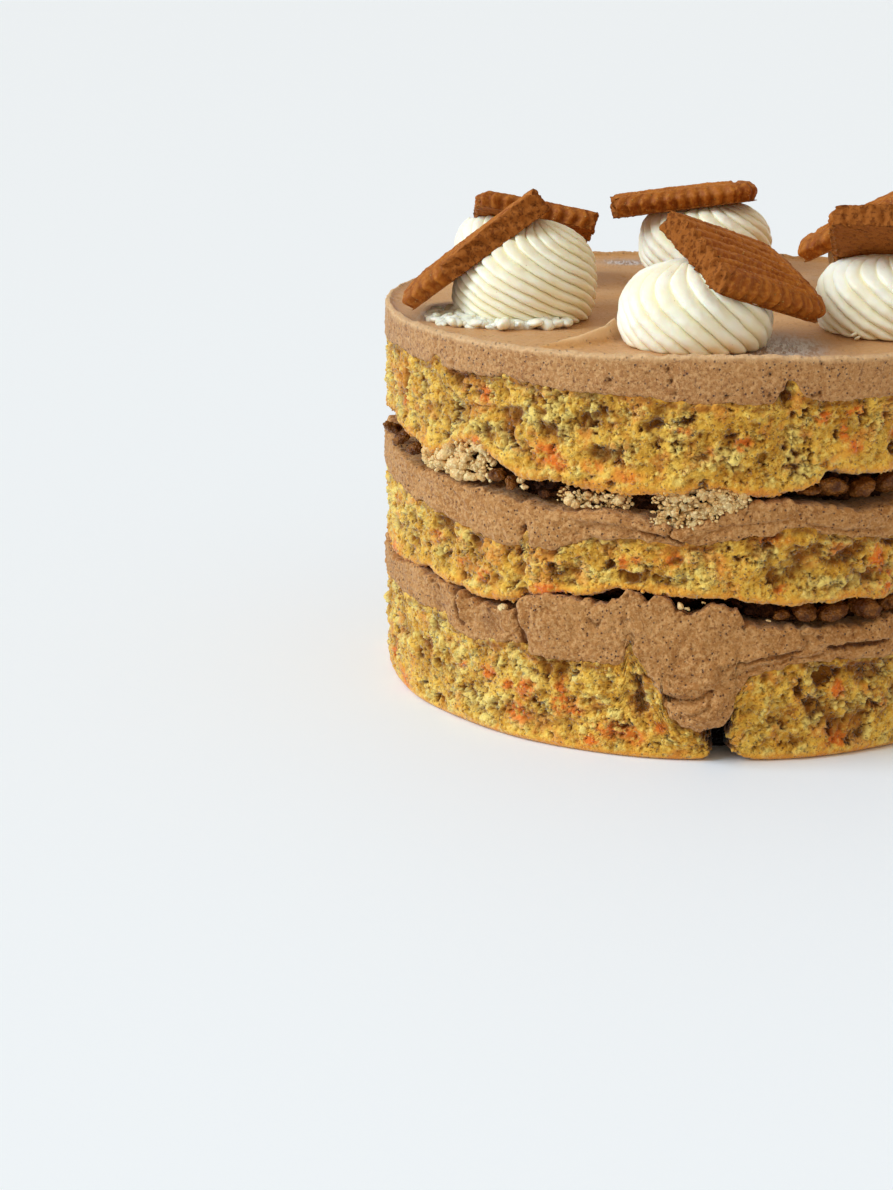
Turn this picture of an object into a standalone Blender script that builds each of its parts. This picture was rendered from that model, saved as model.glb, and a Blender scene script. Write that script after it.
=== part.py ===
"""A six-inch naked carrot cake: three sponge layers, two buttercream fillings with crumb on top of them,
a frosting layer, and a ring of piped rosettes that each hold a broken piece of biscuit.

Metres, +Z up. The origin is on the cake's axis, in the plane that the cake stands on. Angles round the
cake are in degrees from the front (-Y) towards the right (+X).
"""

import math

import bmesh
import bpy
from mathutils import Matrix, Vector

MM = 0.001

# Driving sizes
CAKE_RADIUS = 76.0 * MM
FLAT_RADIUS = 58.0 * MM  # inside this radius every layer lies level
SHOULDER_RADIUS = 74.2 * MM  # here every layer has reached its height at the rim
FROSTING_FLAT = 72.0 * MM  # the frosting is level on top as far as this
GAP = 0.3 * MM  # between neighbours
SPONGE_ROUND = 1.6 * MM  # how high a layer's outer edge is rounded off
CREAM_ROUND = 0.5 * MM

# Levels of the layers inside the flat radius, bottom to top
LOWER_CREAM_FOOT = 21.8 * MM
LOWER_CREAM_CREST = 30.0 * MM
MIDDLE_SPONGE_FOOT = 36.0 * MM
UPPER_CREAM_FOOT = 49.2 * MM
UPPER_CREAM_CREST = 56.4 * MM
TOP_SPONGE_FOOT = 62.0 * MM
FROSTING_FOOT = 80.4 * MM
FROSTING_CREST = 88.7 * MM

# Height in mm of each edge round the rim, at the angles where it turns
LOWER_CREAM_FOOT_RIM = (
    (-90, 24), (-50, 24), (-43, 21.2), (-36, 21.2), (-31, 22.4), (-26, 20.4), (-13, 21.3), (-7, 19),
    (-4, 14), (-1, 10), (2, 8.5), (5, 9.6), (8, 18.3), (12, 20.6), (19, 22.4), (32, 21.6), (60, 22.8),
    (85, 20.2), (112, 23), (140, 21), (150, 16.5), (160, 21.4), (200, 23.2), (235, 20.8),
)
LOWER_CREAM_CREST_RIM = (
    (-90, 31.5), (-65, 30.5), (-55, 32.8), (-47, 32.2), (-43, 29.8), (-34, 29.6), (-30, 34), (-20, 36),
    (-15, 35.3), (-11, 38.3), (-8, 36.6), (-5, 37), (-3, 34), (0, 33.6), (3, 35.9), (7, 35.7), (10, 30.8),
    (18, 31), (26, 29.3), (34, 30.6), (50, 33.5), (75, 31), (100, 34.5), (125, 31.5), (150, 36),
    (175, 32), (205, 34.5), (235, 30.5), (255, 33),
)
MIDDLE_SPONGE_FOOT_RIM = (
    (-90, 33), (-65, 31.8), (-52, 33.3), (-38, 31.6), (-30, 34.4), (-20, 36.4), (-5, 37.6), (3, 37.3),
    (10, 36.4), (20, 35.6), (30, 36.2), (60, 36.6), (90, 35.4), (120, 36.9), (150, 36.4), (180, 35.2),
    (210, 36.8), (240, 34.8),
)
UPPER_CREAM_FOOT_RIM = (
    (-90, 49.5), (-60, 49), (-50, 47.6), (-40, 45.8), (-31, 44.9), (-26, 45.4), (-15, 49.8), (0, 49.2),
    (7, 50.4), (17, 52.8), (21, 51), (25, 49.8), (34, 48.8), (55, 47), (80, 50.5), (105, 48.5),
    (135, 46.5), (165, 50), (195, 48), (225, 50.3), (250, 48.2),
)
UPPER_CREAM_CREST_RIM = (
    (-90, 58.5), (-65, 57.4), (-40, 56), (-24, 54.4), (-17, 55.6), (-10, 54.6), (-3, 52.6), (3, 55),
    (8, 58.2), (14, 58.8), (20, 57.6), (29, 55.5), (55, 56.5), (80, 58.5), (105, 55), (130, 57.5),
    (160, 55), (190, 58), (220, 55.5), (245, 57.5),
)
TOP_SPONGE_FOOT_RIM = (
    (-90, 64.5), (-68, 64.5), (-56, 61.8), (-44, 66.3), (-38, 65), (-32, 61.6), (-12, 60), (0, 61.4),
    (12, 60.1), (17, 61.5), (22, 64.4), (34, 65), (50, 62), (75, 61), (100, 63.5), (125, 60.5),
    (150, 64), (180, 61), (210, 63.5), (240, 60.8),
)
FROSTING_FOOT_RIM = (
    (-90, 81), (-45, 81.3), (-30, 81.6), (-15, 81), (-4, 79.8), (2, 79.5), (11, 79.2), (17, 80.1),
    (34, 79.8), (60, 80.8), (90, 79.6), (120, 81.2), (150, 80), (180, 81.3), (210, 79.9), (240, 81),
)
FROSTING_CREST_RIM = ((-90, 89.4), (-35, 88.9), (5, 89.9), (30, 88.8), (90, 89.6), (150, 88.9), (210, 89.7))

# Notches where a cream's lower edge stands off the sponge: angle, half width, both in degrees, and rise
FROSTING_NOTCHES = ((14.5, 3.5, 4.6 * MM), (-52, 2, 2.4 * MM), (134, 8, 4.6 * MM), (222, 8, 3.6 * MM))
LOWER_CREAM_NOTCHES = ((-10, 3, 4.8 * MM), (98, 8, 4.4 * MM))

# The bottom sponge is cracked open under the drip
CRACK_START = 3.2
CRACK_END = 7.2
CRACK_DEPTH = 13.0 * MM
CRACK_WALL = 0.5  # degrees from the crack's lip to its inner corner

# Corners round the rim: fine steps over the busy part of it
FINE_FROM = -73.0
FINE_STEP = 3.5
FINE_STEPS = 32
COARSE_STEPS = 24

# Crumb filling
CRUMB_REACH = 70.0 * MM
CRUMB_LEAST = 0.8 * MM  # the crumb ends where there is less room for it than this
CRUMB_CLEARANCE = 1.2 * MM  # between the crumb's outer edge and the layers over and under it

# Rosettes
ROSETTE_RADIUS = 17.0 * MM
ROSETTE_RIDGES = 20
RIDGE_DEPTH = 1.1 * MM
ROSETTE_SEAT = FROSTING_CREST + GAP

# Biscuits
BISCUIT_LENGTH = 62.0 * MM
BISCUIT_WIDTH = 31.0 * MM
BISCUIT_THICKNESS = 6.2 * MM
BISCUIT_CORNER = 4.5 * MM
CRIMP_PITCH = 5.0 * MM
CRIMP_DEPTH = 0.5 * MM
BREAK_ROUGHNESS = 0.7 * MM
PRESS_HEIGHT = 40.0 * MM  # nothing of a rosette is left over its biscuit
PRESS_CLEARANCE = 0.9 * MM  # the cream keeps this far from the biscuit's sides


def clear_scene():
    for thing in list(bpy.data.objects):
        bpy.data.objects.remove(thing)


def material(name, colour, roughness):
    made = bpy.data.materials.new(name)
    made.use_nodes = True
    shader = made.node_tree.nodes["Principled BSDF"]
    shader.inputs["Base Color"].default_value = (*colour, 1.0)
    shader.inputs["Roughness"].default_value = roughness
    shader.inputs["Metallic"].default_value = 0.0
    return made


def object_from(name, form, finish):
    """A named object that holds the bmesh, with its faces turned outwards."""
    bmesh.ops.recalc_face_normals(form, faces=form.faces)
    mesh = bpy.data.meshes.new(name)
    form.to_mesh(mesh)
    form.free()
    mesh.materials.append(finish)
    made = bpy.data.objects.new(name, mesh)
    bpy.context.scene.collection.objects.link(made)
    return made


def eased(share):
    return share * share * (3 - 2 * share)


def rim_height(turns, angle):
    """The height at an angle of the smooth closed curve through the turns, in metres."""
    low = turns[0][0]
    angle = (angle - low) % 360 + low
    for (start, first), (end, last) in zip(turns, turns[1:] + ((low + 360, turns[0][1]),)):
        if start <= angle <= end:
            return (first + (last - first) * eased((angle - start) / (end - start))) * MM
    raise ValueError(angle)


def notch_rise(notches, angle):
    """How far the notches lift an edge at this angle."""
    rise = 0.0
    for middle, half_width, height in notches:
        off = abs((angle - middle + 180) % 360 - 180)
        rise = max(rise, height * (1 - off / half_width))
    return rise


def columns():
    """The angles at which the layers have their corners: fine where the rim is busy."""
    fine = [FINE_FROM + FINE_STEP * i for i in range(FINE_STEPS + 1)]
    coarse_step = (360 - FINE_STEP * FINE_STEPS) / COARSE_STEPS
    return fine + [fine[-1] + coarse_step * i for i in range(1, COARSE_STEPS)]


def crack_columns():
    """The same angles, with those of the crack's walls in place of the ones inside it."""
    walls = [CRACK_START, CRACK_START + CRACK_WALL, CRACK_END - CRACK_WALL, CRACK_END]
    kept = [a for a in columns() if not CRACK_START - 0.6 < a < CRACK_END + 0.6]
    return sorted(kept + walls)


def side_radius(angle, base, wander):
    """The layer's radius at an angle, which wanders a little round a true circle."""
    turn = math.radians(angle)
    return base + wander * (0.55 * math.sin(3 * turn + 0.4) + 0.45 * math.sin(7 * turn + 1.9))


def at(angle, radius, height):
    turn = math.radians(angle)
    return Vector((radius * math.sin(turn), -radius * math.cos(turn), height))


def between(radius, level, rim):
    """The height at a radius of a surface that is level inside and reaches its rim height at the shoulder."""
    share = min(1.0, max(0.0, (radius - FLAT_RADIUS) / (SHOULDER_RADIUS - FLAT_RADIUS)))
    return level + (rim - level) * share


def stacked_rings(name, rings, finish):
    """A closed solid through rings of points, from the first one's middle to the last one's.

    Between two rings the split always runs from the inner ring to the next corner of the outer one, so
    that the facing surfaces of two neighbours stay parallel.
    """
    form = bmesh.new()
    made = [[form.verts.new(point) for point in ring] for ring in rings]
    count = len(made[0])
    for lower, upper in zip(made, made[1:]):
        widens = lower[0].co.xy.length < upper[0].co.xy.length
        for i in range(count):
            j = (i + 1) % count
            if widens:
                form.faces.new((lower[i], lower[j], upper[j]))
                form.faces.new((lower[i], upper[j], upper[i]))
            else:
                form.faces.new((lower[i], lower[j], upper[i]))
                form.faces.new((lower[j], upper[j], upper[i]))
    for ring in (made[0], made[-1]):
        middle = form.verts.new(sum((corner.co for corner in ring), Vector()) / count)
        for i in range(count):
            form.faces.new((ring[i], ring[(i + 1) % count], middle))
    return object_from(name, form, finish)


def cake_layer(name, finish, angles, foot, crest, levels, radius_at, rounds, flat_top=FLAT_RADIUS):
    """A disc whose lower and upper faces run from their inner levels to the foot and crest at the rim."""
    rings = [[] for _ in range(6)]
    for angle in angles:
        radius = radius_at(angle)
        shoulder = min(SHOULDER_RADIUS, radius - 0.4 * MM)
        low, high = foot(angle), crest(angle)
        most = 0.3 * (high - low)
        points = (
            at(angle, min(FLAT_RADIUS, shoulder), levels[0]),
            at(angle, shoulder, low),
            at(angle, radius, low + min(rounds[0], most)),
            at(angle, radius, high - min(rounds[1], most)),
            at(angle, shoulder, high),
            at(angle, min(flat_top, shoulder - 0.4 * MM), levels[1]),
        )
        for ring, point in zip(rings, points):
            ring.append(point)
    return stacked_rings(name, rings, finish)


def lower_cream_foot(angle):
    return rim_height(LOWER_CREAM_FOOT_RIM, angle)


def lower_cream_crest(angle):
    return rim_height(LOWER_CREAM_CREST_RIM, angle)


def middle_sponge_foot(angle):
    return max(rim_height(MIDDLE_SPONGE_FOOT_RIM, angle), lower_cream_crest(angle) + GAP)


def upper_cream_foot(angle):
    return rim_height(UPPER_CREAM_FOOT_RIM, angle)


def upper_cream_crest(angle):
    return rim_height(UPPER_CREAM_CREST_RIM, angle)


def top_sponge_foot(angle):
    return rim_height(TOP_SPONGE_FOOT_RIM, angle)


def frosting_foot(angle):
    return rim_height(FROSTING_FOOT_RIM, angle)


def make_sponges(finish):
    def wandering(angle):
        return side_radius(angle, CAKE_RADIUS - 0.6 * MM, 0.5 * MM)

    def cracked(angle):
        inside = CRACK_START + 0.1 < angle < CRACK_END - 0.1
        return wandering(angle) - (CRACK_DEPTH if inside else 0.0)

    rounds = (SPONGE_ROUND, SPONGE_ROUND)
    cake_layer(
        "sponge_bottom", finish, crack_columns(),
        lambda angle: 0.0, lambda angle: lower_cream_foot(angle) - GAP,
        (0.0, LOWER_CREAM_FOOT - GAP), cracked, rounds,
    )
    cake_layer(
        "sponge_middle", finish, columns(),
        middle_sponge_foot, lambda angle: upper_cream_foot(angle) - GAP,
        (MIDDLE_SPONGE_FOOT, UPPER_CREAM_FOOT - GAP), wandering, rounds,
    )
    cake_layer(
        "sponge_top", finish, columns(),
        top_sponge_foot, lambda angle: frosting_foot(angle) - GAP,
        (TOP_SPONGE_FOOT, FROSTING_FOOT - GAP), wandering, rounds,
    )


def make_creams(finish):
    def smooth(angle):
        return side_radius(angle, CAKE_RADIUS, 0.25 * MM)

    rounds = (CREAM_ROUND, SPONGE_ROUND)
    cake_layer(
        "cream_lower", finish, crack_columns(),
        lambda angle: lower_cream_foot(angle) + notch_rise(LOWER_CREAM_NOTCHES, angle), lower_cream_crest,
        (LOWER_CREAM_FOOT, LOWER_CREAM_CREST), smooth, rounds,
    )
    cake_layer(
        "cream_upper", finish, columns(),
        upper_cream_foot, upper_cream_crest,
        (UPPER_CREAM_FOOT, UPPER_CREAM_CREST), smooth, rounds,
    )
    cake_layer(
        "frosting_top", finish, columns(),
        lambda angle: frosting_foot(angle) + notch_rise(FROSTING_NOTCHES, angle),
        lambda angle: rim_height(FROSTING_CREST_RIM, angle),
        (FROSTING_FOOT, FROSTING_CREST), smooth, (CREAM_ROUND, CREAM_ROUND), flat_top=FROSTING_FLAT,
    )


def crumb_reach(angle, floor_level, floor_rim, roof_level, roof_rim):
    """The radius out to which the cavity over a filling has room for crumb."""
    reach = FLAT_RADIUS + 0.6 * MM
    steps = 12
    for step in range(steps + 1):
        radius = FLAT_RADIUS + (CRUMB_REACH - FLAT_RADIUS) * step / steps
        room = between(radius, roof_level, roof_rim(angle)) - between(radius, floor_level, floor_rim(angle))
        if room >= CRUMB_LEAST + 2 * CRUMB_CLEARANCE:
            reach = max(reach, radius)
    return reach


def make_crumb(name, finish, angles, floor_level, floor_rim, roof_level, roof_rim):
    """The crumb that lies on a filling, out to where the cavity under the sponge closes."""
    reaches = [crumb_reach(angle, floor_level, floor_rim, roof_level, roof_rim) for angle in angles]
    inner = FLAT_RADIUS - 1.0 * MM
    rings = [[] for _ in range(6)]
    for i, angle in enumerate(angles):
        reach = min(reaches[(i + step) % len(angles)] for step in range(-2, 3))
        floor = between(reach, floor_level, floor_rim(angle)) + CRUMB_CLEARANCE
        roof = between(reach, roof_level, roof_rim(angle)) - CRUMB_CLEARANCE
        bevel = 0.25 * (roof - floor)
        points = (
            at(angle, inner, floor_level + GAP),
            at(angle, reach - bevel, floor),
            at(angle, reach, floor + bevel),
            at(angle, reach, roof - bevel),
            at(angle, reach - bevel, roof),
            at(angle, inner, roof_level - GAP),
        )
        for ring, point in zip(rings, points):
            ring.append(point)
    return stacked_rings(name, rings, finish)


def rosette_radius(share, radius, fullness):
    """The swirl's outline: a dome that tucks in at its foot, against the share of its height."""
    tuck = 1.0 - 0.09 * (1 - min(1.0, share / 0.28)) ** 2
    dome = math.sqrt(max(0.0, 1.0 - max(0.0, (share - 0.28) / 0.72) ** fullness))
    return radius * tuck * dome


def make_rosette(name, finish, place, height, radius, fullness, twist, lean):
    """A star-tip swirl: ridges that start at the peak and turn as they come down."""
    centre = Vector((*place, 0)) * MM + Vector((0, 0, ROSETTE_SEAT))
    lean = Vector((*lean, 0)) * MM
    shares = (0.0, 0.16, 0.45, 0.7, 0.88, 0.98)
    rings = []
    for share in shares:
        around = rosette_radius(share, radius, fullness)
        turned = math.radians(twist) * (1 - share) ** 1.2
        ring = []
        for i in range(2 * ROSETTE_RIDGES):
            side = turned + math.pi * i / ROSETTE_RIDGES
            depth = RIDGE_DEPTH * min(1.0, around / (0.7 * radius))
            away = around - (depth if i % 2 else 0.0)
            ring.append(
                centre + lean * share * share
                + Vector((away * math.cos(side), away * math.sin(side), height * share))
            )
        rings.append(ring)
    return stacked_rings(name, rings, finish)


def crimped_outline():
    """The whole biscuit's outline seen from above: a rounded oblong with a crimped edge."""
    half_x, half_y = BISCUIT_LENGTH / 2 - BISCUIT_CORNER, BISCUIT_WIDTH / 2 - BISCUIT_CORNER
    points = []
    for quarter, (sx, sy) in enumerate(((1, -1), (1, 1), (-1, 1), (-1, -1))):
        for step in range(4):
            turn = math.radians(90 * (quarter - 1) + 30 * step)
            corner = Vector((sx * half_x, sy * half_y))
            points.append(corner + BISCUIT_CORNER * Vector((math.cos(turn), math.sin(turn))))
    outline = []
    for start, end in zip(points, points[1:] + points[:1]):
        along = end - start
        crimps = max(1, round(along.length / CRIMP_PITCH))
        out = Vector((along.y, -along.x)).normalized()
        for i in range(crimps):
            outline.append(start + along * (i / crimps))
            if crimps > 1:
                outline.append(start + along * ((i + 0.5) / crimps) - out * CRIMP_DEPTH)
    return outline


def snapped(outline, point, away, seed):
    """The outline cut by a rough break through a point; what lies towards away is broken off."""
    kept, cut = [], []
    for start, end in zip(outline, outline[1:] + outline[:1]):
        first, last = (start - point).dot(away), (end - point).dot(away)
        if first <= 0:
            kept.append(start)
        if (first <= 0) != (last <= 0):
            cut.append(len(kept))
            kept.append(start.lerp(end, first / (first - last)))
    leave = next(i for i in cut if (i + 1) % len(kept) in cut)
    start, end = kept[leave], kept[(leave + 1) % len(kept)]
    steps = max(3, round((end - start).length / (3.6 * MM)))
    rough = []
    for i in range(1, steps):
        sway = math.sin(2.3 * i + seed) + 0.6 * math.sin(5.1 * i + 2 * seed)
        rough.append(start.lerp(end, i / steps) + away * (BREAK_ROUGHNESS * sway))
    return kept[: leave + 1] + rough + kept[leave + 1:]


def shrunk(outline, inset):
    """The outline moved inwards by about the inset, towards its middle."""
    middle = sum(outline, Vector((0, 0))) / len(outline)
    moved = []
    for point in outline:
        towards = point - middle
        moved.append(middle + towards * (1 - inset / max(towards.length, 4 * inset)))
    return moved


def biscuit_form(outline, levels):
    """A slab through the outline at each level, which is a height and how far in the outline is there."""
    form = bmesh.new()
    rings = [[form.verts.new((*p, height)) for p in shrunk(outline, inset)] for height, inset in levels]
    count = len(outline)
    for lower, upper in zip(rings, rings[1:]):
        for i in range(count):
            j = (i + 1) % count
            form.faces.new((lower[i], lower[j], upper[j], upper[i]))
    form.faces.new(list(reversed(rings[0])))
    form.faces.new(rings[-1])
    bmesh.ops.triangulate(form, faces=[f for f in form.faces if len(f.verts) > 4])
    return form


def slab_frame(place, along, up):
    """The matrix of a biscuit whose middle is at place, its length along one direction and its top facing up."""
    x_axis = Vector(along).normalized()
    z_axis = (Vector(up) - x_axis * Vector(up).dot(x_axis)).normalized()
    y_axis = z_axis.cross(x_axis)
    turn = Matrix((x_axis, y_axis, z_axis)).transposed().to_4x4()
    return Matrix.Translation(place) @ turn


def make_biscuit(name, finish, place, along, up, breaks, holder):
    """A broken biscuit pressed into its rosette, which is cut to fit it."""
    outline = crimped_outline()
    for seed, (point, away) in enumerate(breaks):
        outline = snapped(outline, Vector(point) * MM, Vector(away).normalized(), 1.7 * seed + len(name))
    frame = slab_frame(Vector(place) * MM, along, up)
    thick = BISCUIT_THICKNESS
    form = biscuit_form(outline, ((0, 0.9 * MM), (0.2 * thick, 0), (0.62 * thick, 0), (thick, 1.5 * MM)))
    made = object_from(name, form, finish)
    made.matrix_world = frame
    press_form = biscuit_form(outline, ((-GAP, 0), (0.2 * thick, -PRESS_CLEARANCE), (PRESS_HEIGHT, -PRESS_CLEARANCE)))
    cutter = object_from(name + "_press", press_form, holder.data.materials[0])
    cutter.matrix_world = frame
    cutter.hide_render = True
    cutter.display_type = "WIRE"
    press = holder.modifiers.new("press", "BOOLEAN")
    press.operation = "DIFFERENCE"
    press.solver = "EXACT"
    press.object = cutter
    return made


# Each rosette: place in mm, height in mm, radius in mm, how full its dome is (2 is a round one), twist in
# degrees, and how far in mm its top leans
ROSETTES = {
    "front": ((-1.5, -54.5), 18.0, 16.8, 3.2, 70, (-0.6, 0)),
    "front_right": ((42.0, -32.0), 17.5, 17.4, 3.2, 95, (0, 0)),
    "back_right": ((47.0, 27.0), 18.5, 16.8, 3.0, 80, (0, 0)),
    "back": ((0.0, 52.0), 17.5, 17.2, 3.0, 85, (0, 0)),
    "back_left": ((-46.0, 27.0), 19.0, 16.6, 3.0, 80, (0, 0)),
    "front_left": ((-41.0, -25.0), 22.0, 16.7, 2.2, 125, (2.5, 1.5)),
}

# Each biscuit: middle of the whole one's underside in mm, direction of its length, direction of its top,
# and its breaks, each a point in mm on the biscuit and the direction that is broken off
BISCUITS = {
    "front": ((-3.6, -59.4, 107.4), (0.75, 0.59, -0.31), (0.45, -0.13, 0.88), (((-0.5, 0), (-1.0, 0.05)),)),
    "front_right": (
        (58.0, -39.6, 107.7), (0.99, -0.12, 0.02), (0.0, 0.53, 0.85),
        (((0, -11), (0.06, -1.0)), ((9, 0), (1.0, 0.15))),
    ),
    "back_right": ((51.8, 28.3, 108.2), (0.89, 0.0, 0.455), (-0.45, 0.12, 0.88), (((11, 0), (1.0, -0.2)),)),
    "back": ((-17.3, 56.0, 101.4), (0.99, 0.0, 0.14), (-0.14, 0.13, 0.98), (((-5, 0), (-1.0, 0.1)),)),
    "back_left": ((-27.6, 26.0, 97.2), (0.98, 0.0, -0.20), (0.17, 0.42, 0.89), (((-2, 0), (1.0, 0.1)),)),
    "front_left": (
        (-41.3, -21.8, 108.4), (0.80, 0.0, 0.60), (-0.59, 0.06, 0.78),
        (((0, -12), (0.2, -1.0)), ((7, 0), (1.0, 0.2))),
    ),
}


def main():
    clear_scene()
    sponge = material("sponge", (0.60, 0.40, 0.13), 0.95)
    cream = material("spiced_buttercream", (0.50, 0.30, 0.19), 0.75)
    crumb = material("crumb", (0.45, 0.33, 0.20), 0.95)
    white = material("white_cream", (0.86, 0.82, 0.68), 0.55)
    baked = material("biscuit", (0.33, 0.14, 0.05), 0.85)

    make_sponges(sponge)
    make_creams(cream)
    make_crumb(
        "crumb_lower", crumb, crack_columns(),
        LOWER_CREAM_CREST, lower_cream_crest, MIDDLE_SPONGE_FOOT, middle_sponge_foot,
    )
    make_crumb(
        "crumb_upper", crumb, columns(),
        UPPER_CREAM_CREST, upper_cream_crest, TOP_SPONGE_FOOT, top_sponge_foot,
    )
    for name, (spot, height, radius, fullness, twist, lean) in ROSETTES.items():
        swirl = make_rosette(
            "rosette_" + name, white, spot, height * MM, radius * MM, fullness, twist, lean
        )
        place, along, up, breaks = BISCUITS[name]
        make_biscuit("biscuit_" + name, baked, place, along, up, breaks, swirl)


main()
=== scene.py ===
# %% [markdown]
# # A naked carrot cake
# Three sponges, two fillings of spiced buttercream with crumb on them, a smooth frosted top, and a ring of
# piped rosettes that each hold a broken biscuit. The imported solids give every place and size. Each one is
# replaced here by a finer piece in the same place, because soft food has no flat faces.
# Sizes are in millimetres until a mesh is made, since that is how a baker would measure it.

# %% Load the frame
import math

import bpy
import numpy as np
from mathutils import Matrix, Vector


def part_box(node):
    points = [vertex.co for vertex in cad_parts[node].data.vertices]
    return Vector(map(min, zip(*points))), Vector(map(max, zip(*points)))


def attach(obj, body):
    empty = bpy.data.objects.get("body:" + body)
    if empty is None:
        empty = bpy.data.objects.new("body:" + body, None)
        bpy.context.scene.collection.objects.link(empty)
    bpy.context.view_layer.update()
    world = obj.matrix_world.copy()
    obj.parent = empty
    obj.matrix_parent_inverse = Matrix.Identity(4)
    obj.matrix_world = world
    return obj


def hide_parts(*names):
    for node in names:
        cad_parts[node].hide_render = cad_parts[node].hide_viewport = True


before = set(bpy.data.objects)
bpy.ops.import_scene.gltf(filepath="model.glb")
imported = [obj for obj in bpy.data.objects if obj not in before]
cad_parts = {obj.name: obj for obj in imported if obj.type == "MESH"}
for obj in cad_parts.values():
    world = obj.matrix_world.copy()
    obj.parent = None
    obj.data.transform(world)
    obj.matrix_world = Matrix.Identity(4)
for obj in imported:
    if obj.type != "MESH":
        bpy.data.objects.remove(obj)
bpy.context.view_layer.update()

MM = 0.001

# %% [markdown]
# ## Writing node trees like sums
# A relief or a finish is a formula over the surface. Wiring dozens of Math nodes by hand hides that formula,
# so a small class lets node values be added and multiplied like numbers. Each step still makes one ordinary
# node, and the same class serves Geometry Nodes and materials.

# %% A value in a node tree
class Field:
    """One output of a node, that can be used in sums."""

    def __init__(self, socket):
        self.socket = socket
        self.tree = socket.id_data

    def math(self, operation, first, second=None):
        made = self.tree.nodes.new("ShaderNodeMath")
        made.operation = operation
        for place, value in enumerate((first, second)):
            if value is not None:
                feed(made.inputs[place], value)
        return Field(made.outputs[0])

    def __add__(self, other): return self.math("ADD", self, other)
    def __radd__(self, other): return self.math("ADD", other, self)
    def __sub__(self, other): return self.math("SUBTRACT", self, other)
    def __rsub__(self, other): return self.math("SUBTRACT", other, self)
    def __mul__(self, other): return self.math("MULTIPLY", self, other)
    def __rmul__(self, other): return self.math("MULTIPLY", other, self)
    def __truediv__(self, other): return self.math("DIVIDE", self, other)
    def __pow__(self, other): return self.math("POWER", self, other)


def feed(socket, value):
    """Links a value from the tree to a socket, or sets the socket's own number."""
    if isinstance(value, Field):
        value.tree.links.new(value.socket, socket)
    else:
        socket.default_value = value


def add_node(tree, kind, inputs=None, **settings):
    made = tree.nodes.new(kind)
    for name, value in settings.items():
        setattr(made, name, value)
    for name, value in (inputs or {}).items():
        feed(made.inputs[name], value)
    return made


print("a Field makes one Math node for each sum")

# %% Formulas that both kinds of tree use
def least(a, b): return a.math("MINIMUM", a, b)
def most(a, b): return a.math("MAXIMUM", a, b)
def sine(a): return a.math("SINE", a)
def cosine(a): return a.math("COSINE", a)
def root(a): return a.math("SQRT", a)
def size_of(a): return a.math("ABSOLUTE", a)
def remainder(a): return a.math("FRACT", a)


def ramp(value, low, high, start=0.0, end=1.0):
    """Rises smoothly from start to end while the value goes from low to high."""
    made = add_node(value.tree, "ShaderNodeMapRange", interpolation_type="SMOOTHSTEP")
    for place, part in enumerate((value, low, high, start, end)):
        feed(made.inputs[place], part)
    return Field(made.outputs[0])


def vector(x, y, z):
    tree = next(part.tree for part in (x, y, z) if isinstance(part, Field))
    return Field(add_node(tree, "ShaderNodeCombineXYZ", {0: x, 1: y, 2: z}).outputs[0])


def parts(value):
    made = add_node(value.tree, "ShaderNodeSeparateXYZ", {0: value})
    return [Field(made.outputs[i]) for i in range(3)]


def vector_math(operation, first, second=None, scale=None):
    made = add_node(first.tree, "ShaderNodeVectorMath", operation=operation)
    feed(made.inputs[0], first)
    if second is not None:
        feed(made.inputs[1], second)
    if scale is not None:
        feed(made.inputs["Scale"], scale)
    return Field(made.outputs["Value" if operation in ("LENGTH", "DOT_PRODUCT") else 0])


def noise(place, size, detail=2.0, rough=0.5, output="Fac"):
    """Soft random blobs about size mm across, from 0 to 1."""
    made = add_node(place.tree, "ShaderNodeTexNoise", {"Vector": place, "Scale": 1.0 / size})
    made.inputs["Detail"].default_value = detail
    made.inputs["Roughness"].default_value = rough
    return Field(made.outputs[output])


def lumps(place, size):
    """Cells about size mm across: 0 in the middle of each, rising to its edge."""
    made = add_node(place.tree, "ShaderNodeTexVoronoi", {"Vector": place, "Scale": 1.0 / size})
    return Field(made.outputs["Distance"])


def jitter(place, size, detail=2.0, rough=0.5):
    """A random push, up to a half either way in each direction."""
    return vector_math("SUBTRACT", noise(place, size, detail, rough, "Color"), (0.5, 0.5, 0.5))


print("formulas ready")

# %% [markdown]
# ## From points to a finished piece
# The points are worked out with numpy, because the layers are large regular grids. A Geometry Nodes tree then
# adds the relief, and its result is turned into a plain mesh, so that the piece that is kept holds no live
# modifier. Inputs of a modifier are set by the socket's identifier, which stays when a label is changed.

# %% Meshes and modifiers
def piece_from(name, points, faces, smooth=True):
    """An object at the origin from points in mm."""
    mesh = bpy.data.meshes.new(name)
    mesh.from_pydata([tuple(p) for p in (np.asarray(points) * MM).tolist()], [], faces)
    mesh.polygons.foreach_set("use_smooth", [smooth] * len(mesh.polygons))
    mesh.update()
    made = bpy.data.objects.new(name, mesh)
    bpy.context.scene.collection.objects.link(made)
    return made


def mark(piece, name, values, ends=(0, 0)):
    """Stores a number on each point of a grid, and on the two that close it, for trees and finishes to read."""
    layer = piece.data.attributes.new(name, "FLOAT", "POINT")
    layer.data.foreach_set("value", np.append(np.ravel(values), ends).astype(np.float32))


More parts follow.
